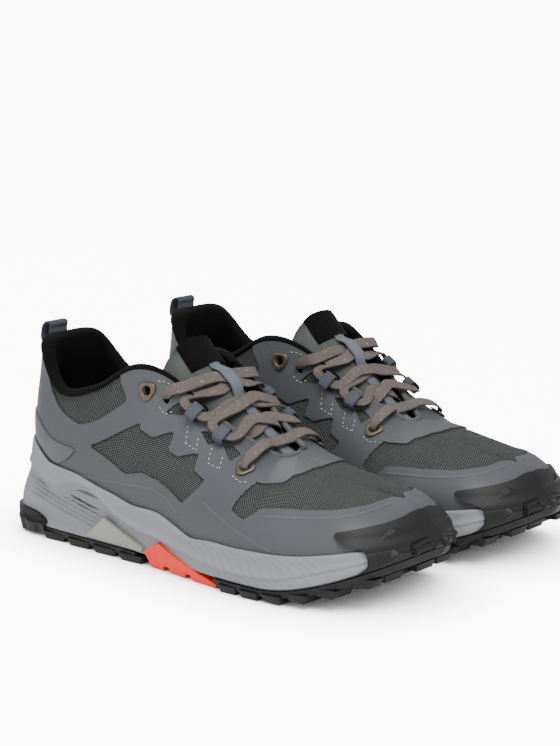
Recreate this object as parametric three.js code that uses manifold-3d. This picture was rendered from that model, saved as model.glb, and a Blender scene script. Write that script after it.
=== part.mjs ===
import * as THREE from "three";
import { mergeVertices } from "three/addons/utils/BufferGeometryUtils.js";
import Module from "manifold-3d";

const wasm = await Module();
wasm.setup();

// A pair of low-cut hiking shoes, millimetres, +Z up, toes towards -Y, right shoe at -X.
// Each shoe is built in its own frame: x towards its outer side, y from heel to toe, z up.

// Overall sizes.
const shoeLength = 306; // heel flare to toe
const ballWidth = 115; // the sole across the ball of the foot
const heelHeight = 121; // floor to the top of the heel collar
const shoeSpacing = 122; // between the two shoes' own centre planes

// Thicknesses and clearances.
const gap = 0.3; // between layers that touch in the real shoe
const shellThickness = 1.6;
const filmThickness = 0.9;
const padThickness = 4.6;
const counterThickness = 1;
const lipThickness = 2.4; // midsole wall outside the upper
const bumperThickness = 2;
const lugHeight = 4;
const treadThickness = 2.7; // rubber between the lugs and the midsole
const shankThickness = 2.6;
const boardThickness = 1.4;
const insoleThickness = 4;
const tongueThickness = 3.4;
const labelThickness = 0.8;
const keeperThickness = 0.8;
const keeperWidth = 8.6;
const laceWidth = 6.6;
const laceThickness = 1.6;
const webbingThickness = 1.2;
const webbingWidth = 8;
const pullWidth = 16;
const pipingRadius = 1.2;

const filmTop = gap + filmThickness;
const cupInside = filmTop + 0.4;
const treadTop = lugHeight + treadThickness + gap;

const halfStations = 14; // from heel centre to toe centre
const stations = 2 * halfStations;
const rows = 5; // from the strobel board to the top line
const lastOpen = 10; // the collar and throat edge end here
const ridgeStart = lastOpen + 1;

// Shape tables are in hundredths of the overall sizes.
const at = (x, y, z = 0) =>
  new THREE.Vector3((x * ballWidth) / 100, (y * shoeLength) / 100, (z * heelHeight) / 100);

// Sole outline, from the heel centre round the outer side to the toe and back along the inner side.
const soleKnots = [
  at(0, 0),
  at(29, 3.2),
  at(34.5, 12.5),
  at(37.5, 24),
  at(40.5, 38),
  at(45, 50),
  at(50, 61),
  at(52.2, 72),
  at(49.5, 84),
  at(35, 95),
  at(-4, 100),
  at(-38, 94),
  at(-47.5, 83),
  at(-47.8, 71),
  at(-43, 59),
  at(-37, 49),
  at(-33.5, 38),
  at(-33.5, 24),
  at(-33, 12.5),
  at(-28, 3.2),
];

// Where the upper meets the midsole.
const biteKnots = [
  at(0, 3.3, 51.5),
  at(23.5, 6.9, 49.5),
  at(33, 14, 42),
  at(38.3, 23.9, 37.5),
  at(39.2, 36.6, 31.5),
  at(41, 47.7, 26.5),
  at(45.2, 58.2, 21.5),
  at(48, 70, 22.3),
  at(46, 81.7, 24),
  at(34, 92.8, 29),
  at(-3.5, 98.4, 31),
  at(-36, 92.2, 29),
  at(-44, 80, 24),
  at(-43.5, 68.6, 22.3),
  at(-39.1, 58.2, 21.5),
  at(-34, 47.7, 26.5),
  at(-32, 36.6, 31.5),
  at(-33, 23.9, 37.5),
  at(-31.3, 14, 42),
  at(-22.6, 6.9, 49.5),
];

// The collar and throat edge, from the inner side of the throat round the heel to the outer side.
const rimKnots = [
  at(-10.5, 67.2, 60),
  at(-19, 56.8, 73.5),
  at(-24.5, 45.7, 93),
  at(-30.5, 37, 97.5),
  at(-30.5, 26.2, 83.5),
  at(-29, 15.4, 79),
  at(-22, 7.8, 98.5),
  at(0, 5.2, 100),
  at(21, 7.8, 98.5),
  at(29.5, 15.4, 78.5),
  at(32, 26.2, 83),
  at(32, 37.2, 97.5),
  at(26, 45.2, 93.4),
  at(20.5, 56.2, 73),
  at(8.5, 66.5, 58),
];

// The crest of the vamp, from the throat to the toe box.
const ridgeKnots = [
  at(-1.5, 67.8, 58.5),
  at(-2, 75.8, 54.5),
  at(-2.5, 82.5, 51),
  at(-3, 89.4, 48.2),
];

const toePoint = (curve, t) => curve.getPoint(Math.min(Math.max(t, 0), 1));
const soleCurve = new THREE.CatmullRomCurve3(soleKnots, true, "catmullrom", 0.5);
const biteCurve = new THREE.CatmullRomCurve3(biteKnots, true, "catmullrom", 0.5);
const rimCurve = new THREE.CatmullRomCurve3(rimKnots, false, "catmullrom", 0.5);
const ridgeCurve = new THREE.CatmullRomCurve3(ridgeKnots, false, "catmullrom", 0.5);

const wrap = (k) => ((k % stations) + stations) % stations;
const signed = (k) => (wrap(k) > halfStations ? wrap(k) - stations : wrap(k));
const smooth = THREE.MathUtils.smoothstep;
const mix = THREE.MathUtils.lerp;

// Height of the sole's underside above the floor: a heel bevel and the toe spring.
function ground(y) {
  const along = y / shoeLength;
  const heel = 0.026 * heelHeight * (1 - smooth(along, 0, 0.09));
  const toe = 0.2 * heelHeight * Math.pow(Math.max(0, (along - 0.74) / 0.26), 1.7);
  return heel + toe;
}

// Height of the strobel board, on which the insole lies.
function boardHeight(y) {
  const along = y / shoeLength;
  const drop = mix(0.185, 0.125, smooth(along, 0.3, 0.68));
  return heelHeight * (drop + 0.12 * smooth(along, 0.78, 1));
}

const soleAt = (k) => soleCurve.getPoint(wrap(k) / stations);
const biteAt = (k) => biteCurve.getPoint(wrap(k) / stations);

// Horizontal unit vector out of the sole outline at a station.
function outwardAt(k) {
  const along = soleCurve.getTangent(wrap(k) / stations);
  return new THREE.Vector3(along.y, -along.x, 0).normalize();
}

function topAt(k) {
  const s = signed(k);
  if (Math.abs(s) <= lastOpen) return toePoint(rimCurve, (s + lastOpen) / (2 * lastOpen));
  return toePoint(ridgeCurve, (Math.abs(s) - ridgeStart) / (halfStations - ridgeStart));
}

// One point of the upper's outer surface: row 0 is tucked into the midsole, row 1 is at its edge.
function upperPoint(k, v) {
  const bite = biteAt(k);
  const top = topAt(k);
  const out = outwardAt(k);
  if (v === 0) {
    const tuck = bite.clone().addScaledVector(out, -0.045 * ballWidth);
    tuck.z = boardHeight(bite.y);
    return tuck;
  }
  const lean = smooth(Math.abs(signed(k)) / halfStations, 0.4, 0.76);
  const rise = top.z - bite.z;
  const low = bite.clone().addScaledVector(out, mix(2.5, 0.5, lean));
  low.z += rise * mix(0.33, 0.62, lean);
  const high = top.clone();
  high.x += (bite.x - top.x) * mix(0.12, 0.5, lean);
  high.y += (bite.y - top.y) * mix(0.12, 0.5, lean);
  high.z -= rise * mix(0.33, 0.03, lean);
  return new THREE.CubicBezierCurve3(bite, low, high, top).getPoint((v - 1) / (rows - 1));
}

const surfacePoints = [];
for (let k = 0; k < stations; k++) {
  const column = [];
  for (let v = 0; v <= rows; v++) column.push(upperPoint(k, v));
  surfacePoints.push(column);
}

// The two sides of the vamp share the points of the crest.
function sharedStation(k, v) {
  const s = signed(k);
  return v === rows && s < -lastOpen ? wrap(-s) : wrap(k);
}

const surfaceNormals = surfacePoints.map((column) => column.map(() => new THREE.Vector3()));

function addNormal(corners) {
  const [a, b, c] = corners.map(([k, v]) => surfacePoints[wrap(k)][v]);
  const normal = b.clone().sub(a).cross(c.clone().sub(a));
  for (const [k, v] of corners) surfaceNormals[sharedStation(k, v)][v].add(normal);
}

for (let k = 0; k < stations; k++)
  for (let v = 0; v < rows; v++) {
    addNormal([[k, v], [k + 1, v], [k + 1, v + 1]]);
    addNormal([[k, v], [k + 1, v + 1], [k, v + 1]]);
  }
for (const column of surfaceNormals) for (const normal of column) normal.normalize();

const gridPoint = (k, v, lift) =>
  surfacePoints[sharedStation(k, v)][v]
    .clone()
    .addScaledVector(surfaceNormals[sharedStation(k, v)][v], lift);

// A point of the surface at any station and row, lifted along the surface's normal.
function lifted(u, v, lift) {
  const k = Math.floor(u + 1e-9);
  const j = Math.min(Math.floor(v + 1e-9), rows - 1);
  const du = Math.max(u - k, 0);
  const dv = Math.max(v - j, 0);
  const near = gridPoint(k, j, lift);
  const far = gridPoint(k + 1, j + 1, lift);
  const side = du >= dv ? gridPoint(k + 1, j, lift) : gridPoint(k, j + 1, lift);
  const large = Math.max(du, dv);
  const small = Math.min(du, dv);
  return near
    .multiplyScalar(1 - large)
    .addScaledVector(side, large - small)
    .addScaledVector(far, small);
}


// ---- solids and meshes ----

// A closed geometry from points and triangles, faces turned outwards.
function shapeOf(points, triangles) {
  let sum = 0;
  for (const [a, b, c] of triangles) sum += points[a].dot(points[b].clone().cross(points[c]));
  const facing = sum < 0 ? triangles.map(([a, b, c]) => [a, c, b]) : triangles;
  const geometry = new THREE.BufferGeometry().setFromPoints(points);
  geometry.setIndex(facing.flat());
  return mergeVertices(geometry, 1e-5);
}

function solidOf(geometry) {
  const bare = geometry.clone();
  bare.deleteAttribute("normal");
  bare.deleteAttribute("uv");
  const merged = mergeVertices(bare, 1e-4);
  return new wasm.Manifold(
    new wasm.Mesh({
      numProp: 3,
      vertProperties: new Float32Array(merged.attributes.position.array),
      triVerts: new Uint32Array(merged.index.array),
    }),
  );
}

function geometryOf(solid) {
  const mesh = solid.getMesh();
  const geometry = new THREE.BufferGeometry();
  geometry.setAttribute("position", new THREE.BufferAttribute(mesh.vertProperties, 3));
  geometry.setIndex(new THREE.BufferAttribute(mesh.triVerts, 1));
  return geometry;
}

// A solid between rings of the same count, closed by strips across the first and the last ring.
function stacked(rings) {
  const count = rings[0].length;
  const points = rings.flat();
  const triangles = [];
  for (let level = 0; level + 1 < rings.length; level++)
    for (let k = 0; k < count; k++) {
      const a = level * count + k;
      const b = level * count + ((k + 1) % count);
      triangles.push([a, b, b + count], [a, b + count, a + count]);
    }
  const last = (rings.length - 1) * count;
  for (let k = 0; k < count / 2; k++) {
    const p = k;
    const q = k + 1;
    const r = (count - q) % count;
    const s = (count - p) % count;
    for (const [a, b, c] of [[p, r, q], [p, s, r]]) {
      if (a === b || b === c || a === c) continue;
      triangles.push([a, b, c], [last + a, last + c, last + b]);
    }
  }
  return shapeOf(points, triangles);
}

// A solid swept through sections of the same count, with flat ends.
function swept(sections) {
  const count = sections[0].length;
  const points = sections.flat();
  const triangles = [];
  for (let i = 0; i + 1 < sections.length; i++)
    for (let j = 0; j < count; j++) {
      const a = i * count + j;
      const b = i * count + ((j + 1) % count);
      triangles.push([a, b, b + count], [a, b + count, a + count]);
    }
  const last = (sections.length - 1) * count;
  for (let j = 0; j < count / 2 - 1; j++) {
    const p = j;
    const q = j + 1;
    const r = count - 2 - j;
    const s = count - 1 - j;
    for (const [a, b, c] of [[p, r, q], [p, s, r]]) {
      if (a === b || b === c || a === c) continue;
      triangles.push([a, b, c], [last + a, last + c, last + b]);
    }
  }
  return shapeOf(points, triangles);
}

// A side-view outline, points of [y, z], carried straight across the shoe from x0 to x1.
function across(outline, x0, x1) {
  const shape = new THREE.Shape(outline.map(([y, z]) => new THREE.Vector2(y, z)));
  const geometry = new THREE.ExtrudeGeometry(shape, { depth: x1 - x0, bevelEnabled: false });
  const turn = new THREE.Matrix4().makeBasis(
    new THREE.Vector3(0, 1, 0),
    new THREE.Vector3(0, 0, 1),
    new THREE.Vector3(1, 0, 0),
  );
  return geometry.applyMatrix4(turn).translate(x0, 0, 0);
}

// The same outline moved outwards all round.
function grown(outline, by) {
  const area = THREE.ShapeUtils.area(outline.map(([y, z]) => new THREE.Vector2(y, z)));
  const turn = Math.sign(area);
  return outline.map((point, i) => {
    const here = new THREE.Vector2(...point);
    const before = new THREE.Vector2(...outline.at(i - 1));
    const after = new THREE.Vector2(...outline[(i + 1) % outline.length]);
    const first = here.clone().sub(before).normalize();
    const second = after.clone().sub(here).normalize();
    const outward = new THREE.Vector2(first.y + second.y, -first.x - second.x).multiplyScalar(turn);
    outward.normalize();
    const slant = Math.max(0.35, outward.x * first.y * turn - outward.y * first.x * turn);
    return [here.x + (outward.x * by) / slant, here.y + (outward.y * by) / slant];
  });
}

// ---- layers of the upper ----

const onCrest = (u, v) => v > rows - 1e-6 && Math.abs(signed(u)) > ridgeStart - 1e-6;

// A flat shape with straight sides one unit tall, in station and row units.
function flatSolid(loops) {
  const [outline, ...holes] = loops;
  const shape = new THREE.Shape(outline);
  for (const hole of holes) shape.holes.push(new THREE.Path(hole));
  return solidOf(new THREE.ExtrudeGeometry(shape, { depth: 1, bevelEnabled: false }));
}

// The part of a flat shape on one facet of the grid, as triangles of [station, row].
function onFacet(flat, corners) {
  const facet = flatSolid([corners.map(([u, v]) => new THREE.Vector2(u, v))]);
  const { vertProperties, triVerts } = flat.intersect(facet).getMesh();
  const triangles = [];
  for (let i = 0; i < triVerts.length; i += 3) {
    const ids = [...triVerts.slice(i, i + 3)];
    if (ids.every((id) => vertProperties[3 * id + 2] > 0.5))
      triangles.push(ids.map((id) => [vertProperties[3 * id], vertProperties[3 * id + 1]]));
  }
  return triangles;
}

// A sheet on the upper between two lifts. Each outline is a list of [station, row], and may have holes.
function layer(outlines, low, high) {
  const polygons = [];
  for (const { outline, holes = [] } of outlines) {
    const place = (point) => new THREE.Vector2(...onGrid(point));
    const loops = [outline, ...holes].map((loop) => loop.map(place));
    const flat = flatSolid(loops);
    const us = loops[0].map((point) => point.x);
    for (let k = Math.floor(Math.min(...us)); k < Math.max(...us); k++)
      for (let j = 0; j < rows; j++) {
        polygons.push(...onFacet(flat, [[k, j], [k + 1, j], [k + 1, j + 1]]));
        polygons.push(...onFacet(flat, [[k, j], [k + 1, j + 1], [k, j + 1]]));
      }
  }

  const numbers = new Map();
  const places = [];
  const number = ([u, v]) => {
    const along = onCrest(u, v) ? Math.abs(signed(u)) : u;
    const key = [along, v].map((value) => Math.round(value * 1e4)).join(" ");
    if (!numbers.has(key)) {
      numbers.set(key, places.length);
      places.push([along, v]);
    }
    return numbers.get(key);
  };
  const top = [];
  for (const polygon of polygons) {
    const ids = polygon.map(number).filter((id, i, all) => id !== all.at(i - 1));
    for (let i = 1; i + 1 < ids.length; i++) top.push([ids[0], ids[i], ids[i + 1]]);
  }
  const count = places.length;
  const points = [low, high].flatMap((lift) => places.map(([u, v]) => lifted(u, v, lift)));
  const triangles = [];
  const edges = new Set(top.flatMap(([a, b, c]) => [`${a} ${b}`, `${b} ${c}`, `${c} ${a}`]));
  for (const [a, b, c] of top) triangles.push([a + count, b + count, c + count], [a, c, b]);
  for (const edge of edges) {
    const [a, b] = edge.split(" ").map(Number);
    if (edges.has(`${b} ${a}`)) continue;
    triangles.push([a, b, b + count], [a, b + count, a + count]);
  }
  return shapeOf(points, triangles);
}

// Patterns count 20 steps from heel to toe and 7 rows from the board to the top line.
function onGrid([u, v]) {
  if (u < 0) {
    const [station, row] = onGrid([-u, v]);
    return [-station, row];
  }
  if (u > 20) {
    const [station, row] = onGrid([40 - u, v]);
    return [stations - station, row];
  }
  const row = v <= 1 ? v : 1 + ((v - 1) * (rows - 1)) / 6;
  if (u <= 14) return [(u * lastOpen) / 14, row];
  return [lastOpen + ((u - 14) * (halfStations - lastOpen)) / 6, row];
}

const onPattern = (u, v, lift) => lifted(...onGrid([u, v]), lift);

const opposite = (outline) => outline.map(([u, v]) => [-u, v]).reverse();

// The whole upper as one closed block, for cutting what lies around it.
function upperBlock(lift, drop) {
  const rings = [];
  for (let v = 0; v <= rows; v++) {
    const ring = [];
    for (let k = 0; k < stations; k++) {
      const point = gridPoint(k, v, lift);
      if (v === 0) point.z -= drop;
      ring.push(point);
    }
    rings.push(ring);
  }
  return solidOf(stacked(rings));
}

// ---- sole ----

// Rings of the midsole's outside: each is moved out from its own place by the same amount.
function soleRings(proud, withTread) {
  const level = (make) => Array.from({ length: stations }, (_, k) => make(k));
  const edge = (k, inset, rise) => {
    const point = soleAt(k).addScaledVector(outwardAt(k), proud - inset);
    point.z = ground(soleAt(k).y) + rise;
    return point;
  };
  const wall = (k, t, inset) => {
    const base = soleAt(k);
    const lip = gridPoint(k, 1, cupInside + lipThickness);
    const point = base.clone().lerp(lip, smooth(t, 0.1, 1) * 0.9);
    point.addScaledVector(outwardAt(k), proud - inset);
    point.z = mix(ground(base.y) + treadTop, lip.z, t);
    return point;
  };
  const rings = [];
  if (withTread) {
    rings.push(level((k) => edge(k, 5, -proud)));
    rings.push(level((k) => edge(k, 3, lugHeight)));
  } else rings.push(level((k) => edge(k, 3.6, treadTop - proud)));
  rings.push(level((k) => edge(k, 0.6, treadTop + 2)));
  rings.push(level((k) => wall(k, 0.32, 0)));
  rings.push(level((k) => wall(k, 0.68, 0.8)));
  rings.push(
    level((k) => {
      const point = gridPoint(k, 1, cupInside + lipThickness + proud);
      point.z += proud;
      return point;
    }),
  );
  rings.push(
    level((k) => {
      const point = gridPoint(k, 1, -0.4);
      point.z += proud;
      return point;
    }),
  );
  return rings;
}

const soleBlank = (proud, withTread = false) => solidOf(stacked(soleRings(proud, withTread)));
const along = (hundredths) => (hundredths * shoeLength) / 100;
const high = (hundredths) => (hundredths * heelHeight) / 100;
const sideView = (points) => points.map(([y, z]) => [along(y), high(z)]);
const wide = ballWidth;

// The shank rests on the heel rubber, so its lower edge rises with a deeper tread.
const shankFoot = Math.max(6, (100 * (treadTop + gap / 2)) / heelHeight);
const shankOutline = sideView([
  [24.2, shankFoot],
  [30.7, 19.8],
  [41.9, 9.2],
  [41, shankFoot],
]);

const lugPieceOutline = sideView([
  [42.6, 8.4],
  [46.7, 14.8],
  [49.6, 12],
  [63.2, 2],
  [62.4, 0],
  [56.2, 0],
  [55.5, 3],
  [54.2, 3],
  [53.6, 0],
  [49.6, 0],
  [48.9, 3],
  [47.6, 3],
  [47, 0],
  [43.4, 0],
]);

const bumperOutline = sideView([
  [88.9, 37.6],
  [91, 41.2],
  [95, 42],
  [98.5, 43.8],
  [104, 43.8],
  [104, 4],
  [97.5, 10],
  [95.2, 27],
  [90.6, 32.6],
]);

const heelPadOutline = sideView([
  [-3, 0.8],
  [-3, 12],
  [1.2, 14],
  [5.6, 12.6],
  [8.8, 7.4],
  [10.2, 0.8],
]);

function treadLug(x, y, width, length) {
  const geometry = new THREE.CylinderGeometry(0.62, 0.5, lugHeight + 0.6, 4).rotateY(Math.PI / 4);
  geometry.rotateX(Math.PI / 2).scale(width, length, 1);
  return solidOf(geometry.translate(x, y, ground(y) + (lugHeight + 0.6) / 2));
}

// Rows of lugs from one place along the shoe to another, within the sole's outline.
function lugRows(from, to, count, perRow) {
  const lugs = [];
  for (let row = 0; row < count; row++) {
    const y = along(mix(from, to, row / (count - 1)));
    const reach = edgesAt(y);
    const inner = reach[0] + 0.08 * ballWidth;
    const outer = reach[1] - 0.08 * ballWidth;
    const pitch = (outer - inner) / (perRow - 1);
    for (let i = 0; i < perRow; i++) {
      const stagger = ((i % 2) - 0.5) * (along(to - from) / (count - 1)) * 0.24;
      const length = (along(to - from) / (count - 1)) * 0.62;
      lugs.push(treadLug(inner + i * pitch, y + stagger, pitch * 0.55, length));
    }
  }
  return lugs;
}

// The sole's inner and outer x at a place along it.
function edgesAt(y) {
  const reach = [0, 0];
  for (let k = 0; k < stations; k++) {
    const a = soleAt(k);
    const b = soleAt(k + 1);
    if ((a.y - y) * (b.y - y) > 0 || a.y === b.y) continue;
    const x = mix(a.x, b.x, (y - a.y) / (b.y - a.y));
    reach[x > 0 ? 1 : 0] = x;
  }
  return reach;
}

function treadSlab() {
  const level = (inset, rise) =>
    Array.from({ length: stations }, (_, k) => {
      const point = soleAt(k).addScaledVector(outwardAt(k), -inset);
      point.z = ground(soleAt(k).y) + rise;
      return point;
    });
  return solidOf(stacked([level(4.2, lugHeight), level(3.4, lugHeight + treadThickness)]));
}

function outsoleHeel() {
  const zone = solidOf(across(sideView([[-5, -5], [39.5, -5], [39.5, 30], [-5, 30]]), -wide, wide));
  const pad = soleBlank(1.8, true)
    .intersect(solidOf(across(heelPadOutline, -wide, wide)))
    .subtract(soleBlank(gap));
  let tread = treadSlab().intersect(zone);
  for (const lug of lugRows(14, 37, 4, 4)) tread = tread.add(lug);
  return geometryOf(tread.add(pad));
}

// The forefoot rubber and the bumper that it wraps up over the toe.
function outsoleForefoot() {
  const zone = solidOf(across(sideView([[64, -5], [96.5, -5], [96.5, 40], [64, 40]]), -wide, wide));
  let tread = treadSlab().intersect(zone);
  for (const lug of lugRows(67, 91, 5, 4)) tread = tread.add(lug);
  return geometryOf(tread.add(toeBumper()).subtract(soleBlank(gap)));
}

function toeBumper() {
  const inside = upperBlock(cupInside - 0.05, boardThickness);
  const outside = upperBlock(cupInside + bumperThickness, 0).add(
    soleBlank(bumperThickness + gap, true),
  );
  return outside
    .intersect(solidOf(across(bumperOutline, -wide, wide)))
    .subtract(inside)
    .subtract(soleBlank(2 * gap));
}

// A side-view outline whose part above a height is left only near the two sides of the shoe.
function winged(outline, by, height, inner, outer) {
  const whole = solidOf(across(grown(outline, by), -wide, wide));
  const above = [[-wide, height], [4 * wide, height], [4 * wide, wide], [-wide, wide]];
  return whole.subtract(solidOf(across(above, inner * wide + by, outer * wide - by)));
}

// The wings stop short of the cup that holds the upper.
const cupWall = (by) => upperBlock(cupInside + 1.3 - by, boardThickness + 2.2 - by);
const shankWings = (by, height) =>
  winged(shankOutline, by, height, -0.2, 0.26).subtract(cupWall(by));
const lugWings = (by, height) =>
  winged(lugPieceOutline, by, height, -0.24, 0.3).subtract(cupWall(by));

function shankPlate() {
  const body = soleBlank(0.5).intersect(shankWings(0, treadTop + shankThickness));
  return geometryOf(body.subtract(lugWings(gap, treadTop)));
}

function midfootLug() {
  return geometryOf(soleBlank(0.9, true).intersect(lugWings(0, treadTop - gap)));
}

function midsole() {
  const cup = upperBlock(cupInside, boardThickness + 2 * gap);
  return geometryOf(
    soleBlank(0)
      .subtract(cup)
      .subtract(shankWings(gap, treadTop + shankThickness + gap))
      .subtract(lugWings(gap, treadTop)),
  );
}

// ---- inside the shoe ----

function floorPiece(lift, low, thickness) {
  const level = (rise) =>
    Array.from({ length: stations }, (_, k) => {
      const point = gridPoint(k, 0, 0).addScaledVector(outwardAt(k), lift);
      point.z += rise;
      return point;
    });
  return stacked([level(low), level(low + thickness)]);
}

const strobelBoard = () => floorPiece(-0.4, -gap - boardThickness, boardThickness);
const insole = () => floorPiece(-shellThickness - 1.6, gap, insoleThickness);

// The textile shell: outside, inside, lower edge and the open top line.
function upperShell() {
  const points = [];
  const id = (k, v, side) => (side * (rows + 1) + v) * stations + sharedStation(k, v);
  for (const lift of [0, -shellThickness])
    for (let v = 0; v <= rows; v++)
      for (let k = 0; k < stations; k++) points.push(gridPoint(k, v, lift));
  const triangles = [];
  for (let k = 0; k < stations; k++) {
    for (let v = 0; v < rows; v++)
      for (const [a, b, c] of [
        [[k, v], [k + 1, v], [k + 1, v + 1]],
        [[k, v], [k + 1, v + 1], [k, v + 1]],
      ]) {
        triangles.push([id(...a, 0), id(...b, 0), id(...c, 0)]);
        triangles.push([id(...a, 1), id(...c, 1), id(...b, 1)]);
      }
    triangles.push([id(k, 0, 0), id(k, 0, 1), id(k + 1, 0, 1)]);
    triangles.push([id(k, 0, 0), id(k + 1, 0, 1), id(k + 1, 0, 0)]);
  }
  for (let k = -ridgeStart; k < ridgeStart; k++) {
    triangles.push([id(k, rows, 0), id(k + 1, rows, 0), id(k + 1, rows, 1)]);
    triangles.push([id(k, rows, 0), id(k + 1, rows, 1), id(k, rows, 1)]);
  }
  return shapeOf(points, triangles);
}

const heelCounter = () =>
  layer(
    [{ outline: [[-5.6, 0.5], [5.6, 0.5], [4.2, 3.2], [-4.2, 3.2]] }],
    -shellThickness - gap - counterThickness,
    -shellThickness - gap,
  );

// The padded collar lining, rolled over the rim.
function collarLining() {
  const sections = [];
  const reach = lastOpen - 3;
  const inner = -shellThickness - 2 * gap;
  for (let k = -reach; k <= reach; k++) {
    const fade = smooth(Math.abs(k), reach - 3, reach);
    const pad = mix(padThickness, 1.4, fade);
    const roll = mix(3.2, 1.6, fade);
    const rim = (lift) => gridPoint(k, rows, lift);
    const up = gridPoint(k, rows, 0).sub(gridPoint(k, rows - 1, 0)).normalize();
    const over = (lift, rise) => rim(lift).addScaledVector(up, rise);
    sections.push([
      gridPoint(k, rows - 2, inner),
      gridPoint(k, rows - 1, inner),
      over(inner, 2 * gap),
      over(filmTop - 0.2, 2 * gap),
      over(filmTop + 0.2, 0.55 * roll),
      over(-0.8, roll),
      over(inner - 0.55 * pad, roll * 0.8),
      over(inner - pad, -0.6),
      gridPoint(k, rows - 1, inner - 0.9 * pad),
      gridPoint(k, rows - 2, inner - 1),
    ]);
  }
  return swept(sections);
}

// ---- films, patches and windows ----

const quarterOutline = [
  [0.08, 0.5],
  [10.5, 0.5],
  [10.55, 1.1],
  [11.75, 2.5],
  [12.05, 3.5],
  [12.9, 4.1],
  [12.55, 5.4],
  [12.7, 6.85],
  [9.6, 6.85],
  [7.3, 6.85],
  [7.75, 5.5],
  [5.55, 4.6],
  [3.6, 6.3],
  [2.6, 6.85],
  [0.08, 6.85],
];

const quarterWindow = [
  [6.25, 3.35],
  [8.5, 4.6],
  [8.45, 4.3],
  [9.2, 4.05],
  [10.1, 4.5],
  [10, 3.75],
  [10.5, 3.65],
  [11.3, 4.2],
  [11.35, 3.6],
  [11.7, 3.45],
  [10.8, 2],
  [9.6, 2.4],
  [8.7, 2.55],
  [7.85, 2.2],
];

const toeOutline = [
  [10.7, 0.5],
  [20, 0.5],
  [29.3, 0.5],
  [29.25, 1],
  [28.1, 2.35],
  [26.35, 2.3],
  [25.7, 3.1],
  [24.1, 3.25],
  [22.75, 3.6],
  [21.7, 4.2],
  [20.6, 5.2],
  [19.4, 5.2],
  [18.3, 4.2],
  [17.25, 3.6],
  [15.9, 3.25],
  [14.3, 3.1],
  [13.65, 2.3],
  [11.9, 2.35],
  [10.75, 1],
];

const vampOutline = [
  [12.25, 3.4],
  [11.95, 2.55],
  [13.05, 2.6],
  [13.8, 4.5],
  [15.1, 4.65],
  [16.87, 7],
  [15.5, 7],
  [14, 6.8],
  [12.85, 6.8],
  [12.7, 5.45],
  [13.05, 4],
];

const heelClipOutline = [
  [-5.6, 2.9],
  [-4.5, 1.3],
  [0, 1.5],
  [4.5, 1.3],
  [5.6, 2.9],
  [2, 3.1],
  [0, 3.8],
  [-2, 3.1],
];

const holePlaces = [
  [8.72, 6],
  [9.75, 5.95],
  [13.2, 4.9],
];
const holeRadius = 0.027 * ballWidth;

const upAt = (u) => lifted(u, rows, 0).sub(lifted(u, rows - 1, 0)).normalize();

// A frame on the surface: origin, along the edge, up to the edge, and out of the surface.
function frameAt(u, v, lift) {
  const origin = onPattern(u, v, lift);
  const out = onPattern(u, v, lift + 1).sub(origin).normalize();
  const edge = onPattern(u + 0.3, v, lift).sub(onPattern(u - 0.3, v, lift));
  edge.addScaledVector(out, -edge.dot(out)).normalize();
  const up = out.clone().cross(edge);
  return new THREE.Matrix4().makeBasis(edge, up, out).setPosition(origin);
}

function holePunch(u, v) {
  const punch = new THREE.CylinderGeometry(holeRadius, holeRadius, 16, 6).rotateX(Math.PI / 2);
  return solidOf(punch.applyMatrix4(frameAt(u, v, -3)));
}

const punches = holePlaces.flatMap(([u, v]) => [holePunch(u, v), holePunch(-u, v)]);

const punched = (geometry) =>
  geometryOf(punches.reduce((solid, punch) => solid.subtract(punch), solidOf(geometry)));

const quarterFilm = (side) => {
  const parts = [quarterOutline, quarterWindow];
  const [outline, hole] = side > 0 ? parts : parts.map(opposite);
  return punched(layer([{ outline, holes: [hole] }], gap, filmTop));
};

const toeFilm = () => layer([{ outline: toeOutline }], gap, filmTop);

const vampFilm = () =>
  punched(layer([{ outline: vampOutline }, { outline: opposite(vampOutline) }], gap, filmTop));

const heelClip = () =>
  layer([{ outline: heelClipOutline }], filmTop + gap, filmTop + gap + 0.7);

// ---- eyelets, lace loops and piping ----

// A rounded-triangle washer with a round hole.
function eyelet(u, v) {
  const size = 0.05 * ballWidth;
  const shape = new THREE.Shape();
  for (let i = 0; i < 3; i++) {
    const angle = Math.PI / 6 + (i * 2 * Math.PI) / 3;
    const x = Math.cos(angle) * size * 0.42;
    const y = Math.sin(angle) * size * 0.42;
    shape.absarc(x, y, size * 0.46, angle - Math.PI / 3, angle + Math.PI / 3, false);
  }
  const hole = new THREE.Path();
  hole.absarc(0, 0, holeRadius, 0, 2 * Math.PI, true);
  shape.holes.push(hole);
  const ring = new THREE.ExtrudeGeometry(shape, {
    depth: 0.9,
    bevelEnabled: false,
    curveSegments: 4,
  });
  return ring.applyMatrix4(frameAt(u, v, filmTop + 3 * gap));
}

const loopPlaces = [
  [11.05, 6.15],
  [12.1, 5.95],
];
const loopWidth = 0.85 * webbingWidth;
const loopInside = laceWidth + 1.6;
const loopHeight = laceThickness + 2.8;

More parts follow.
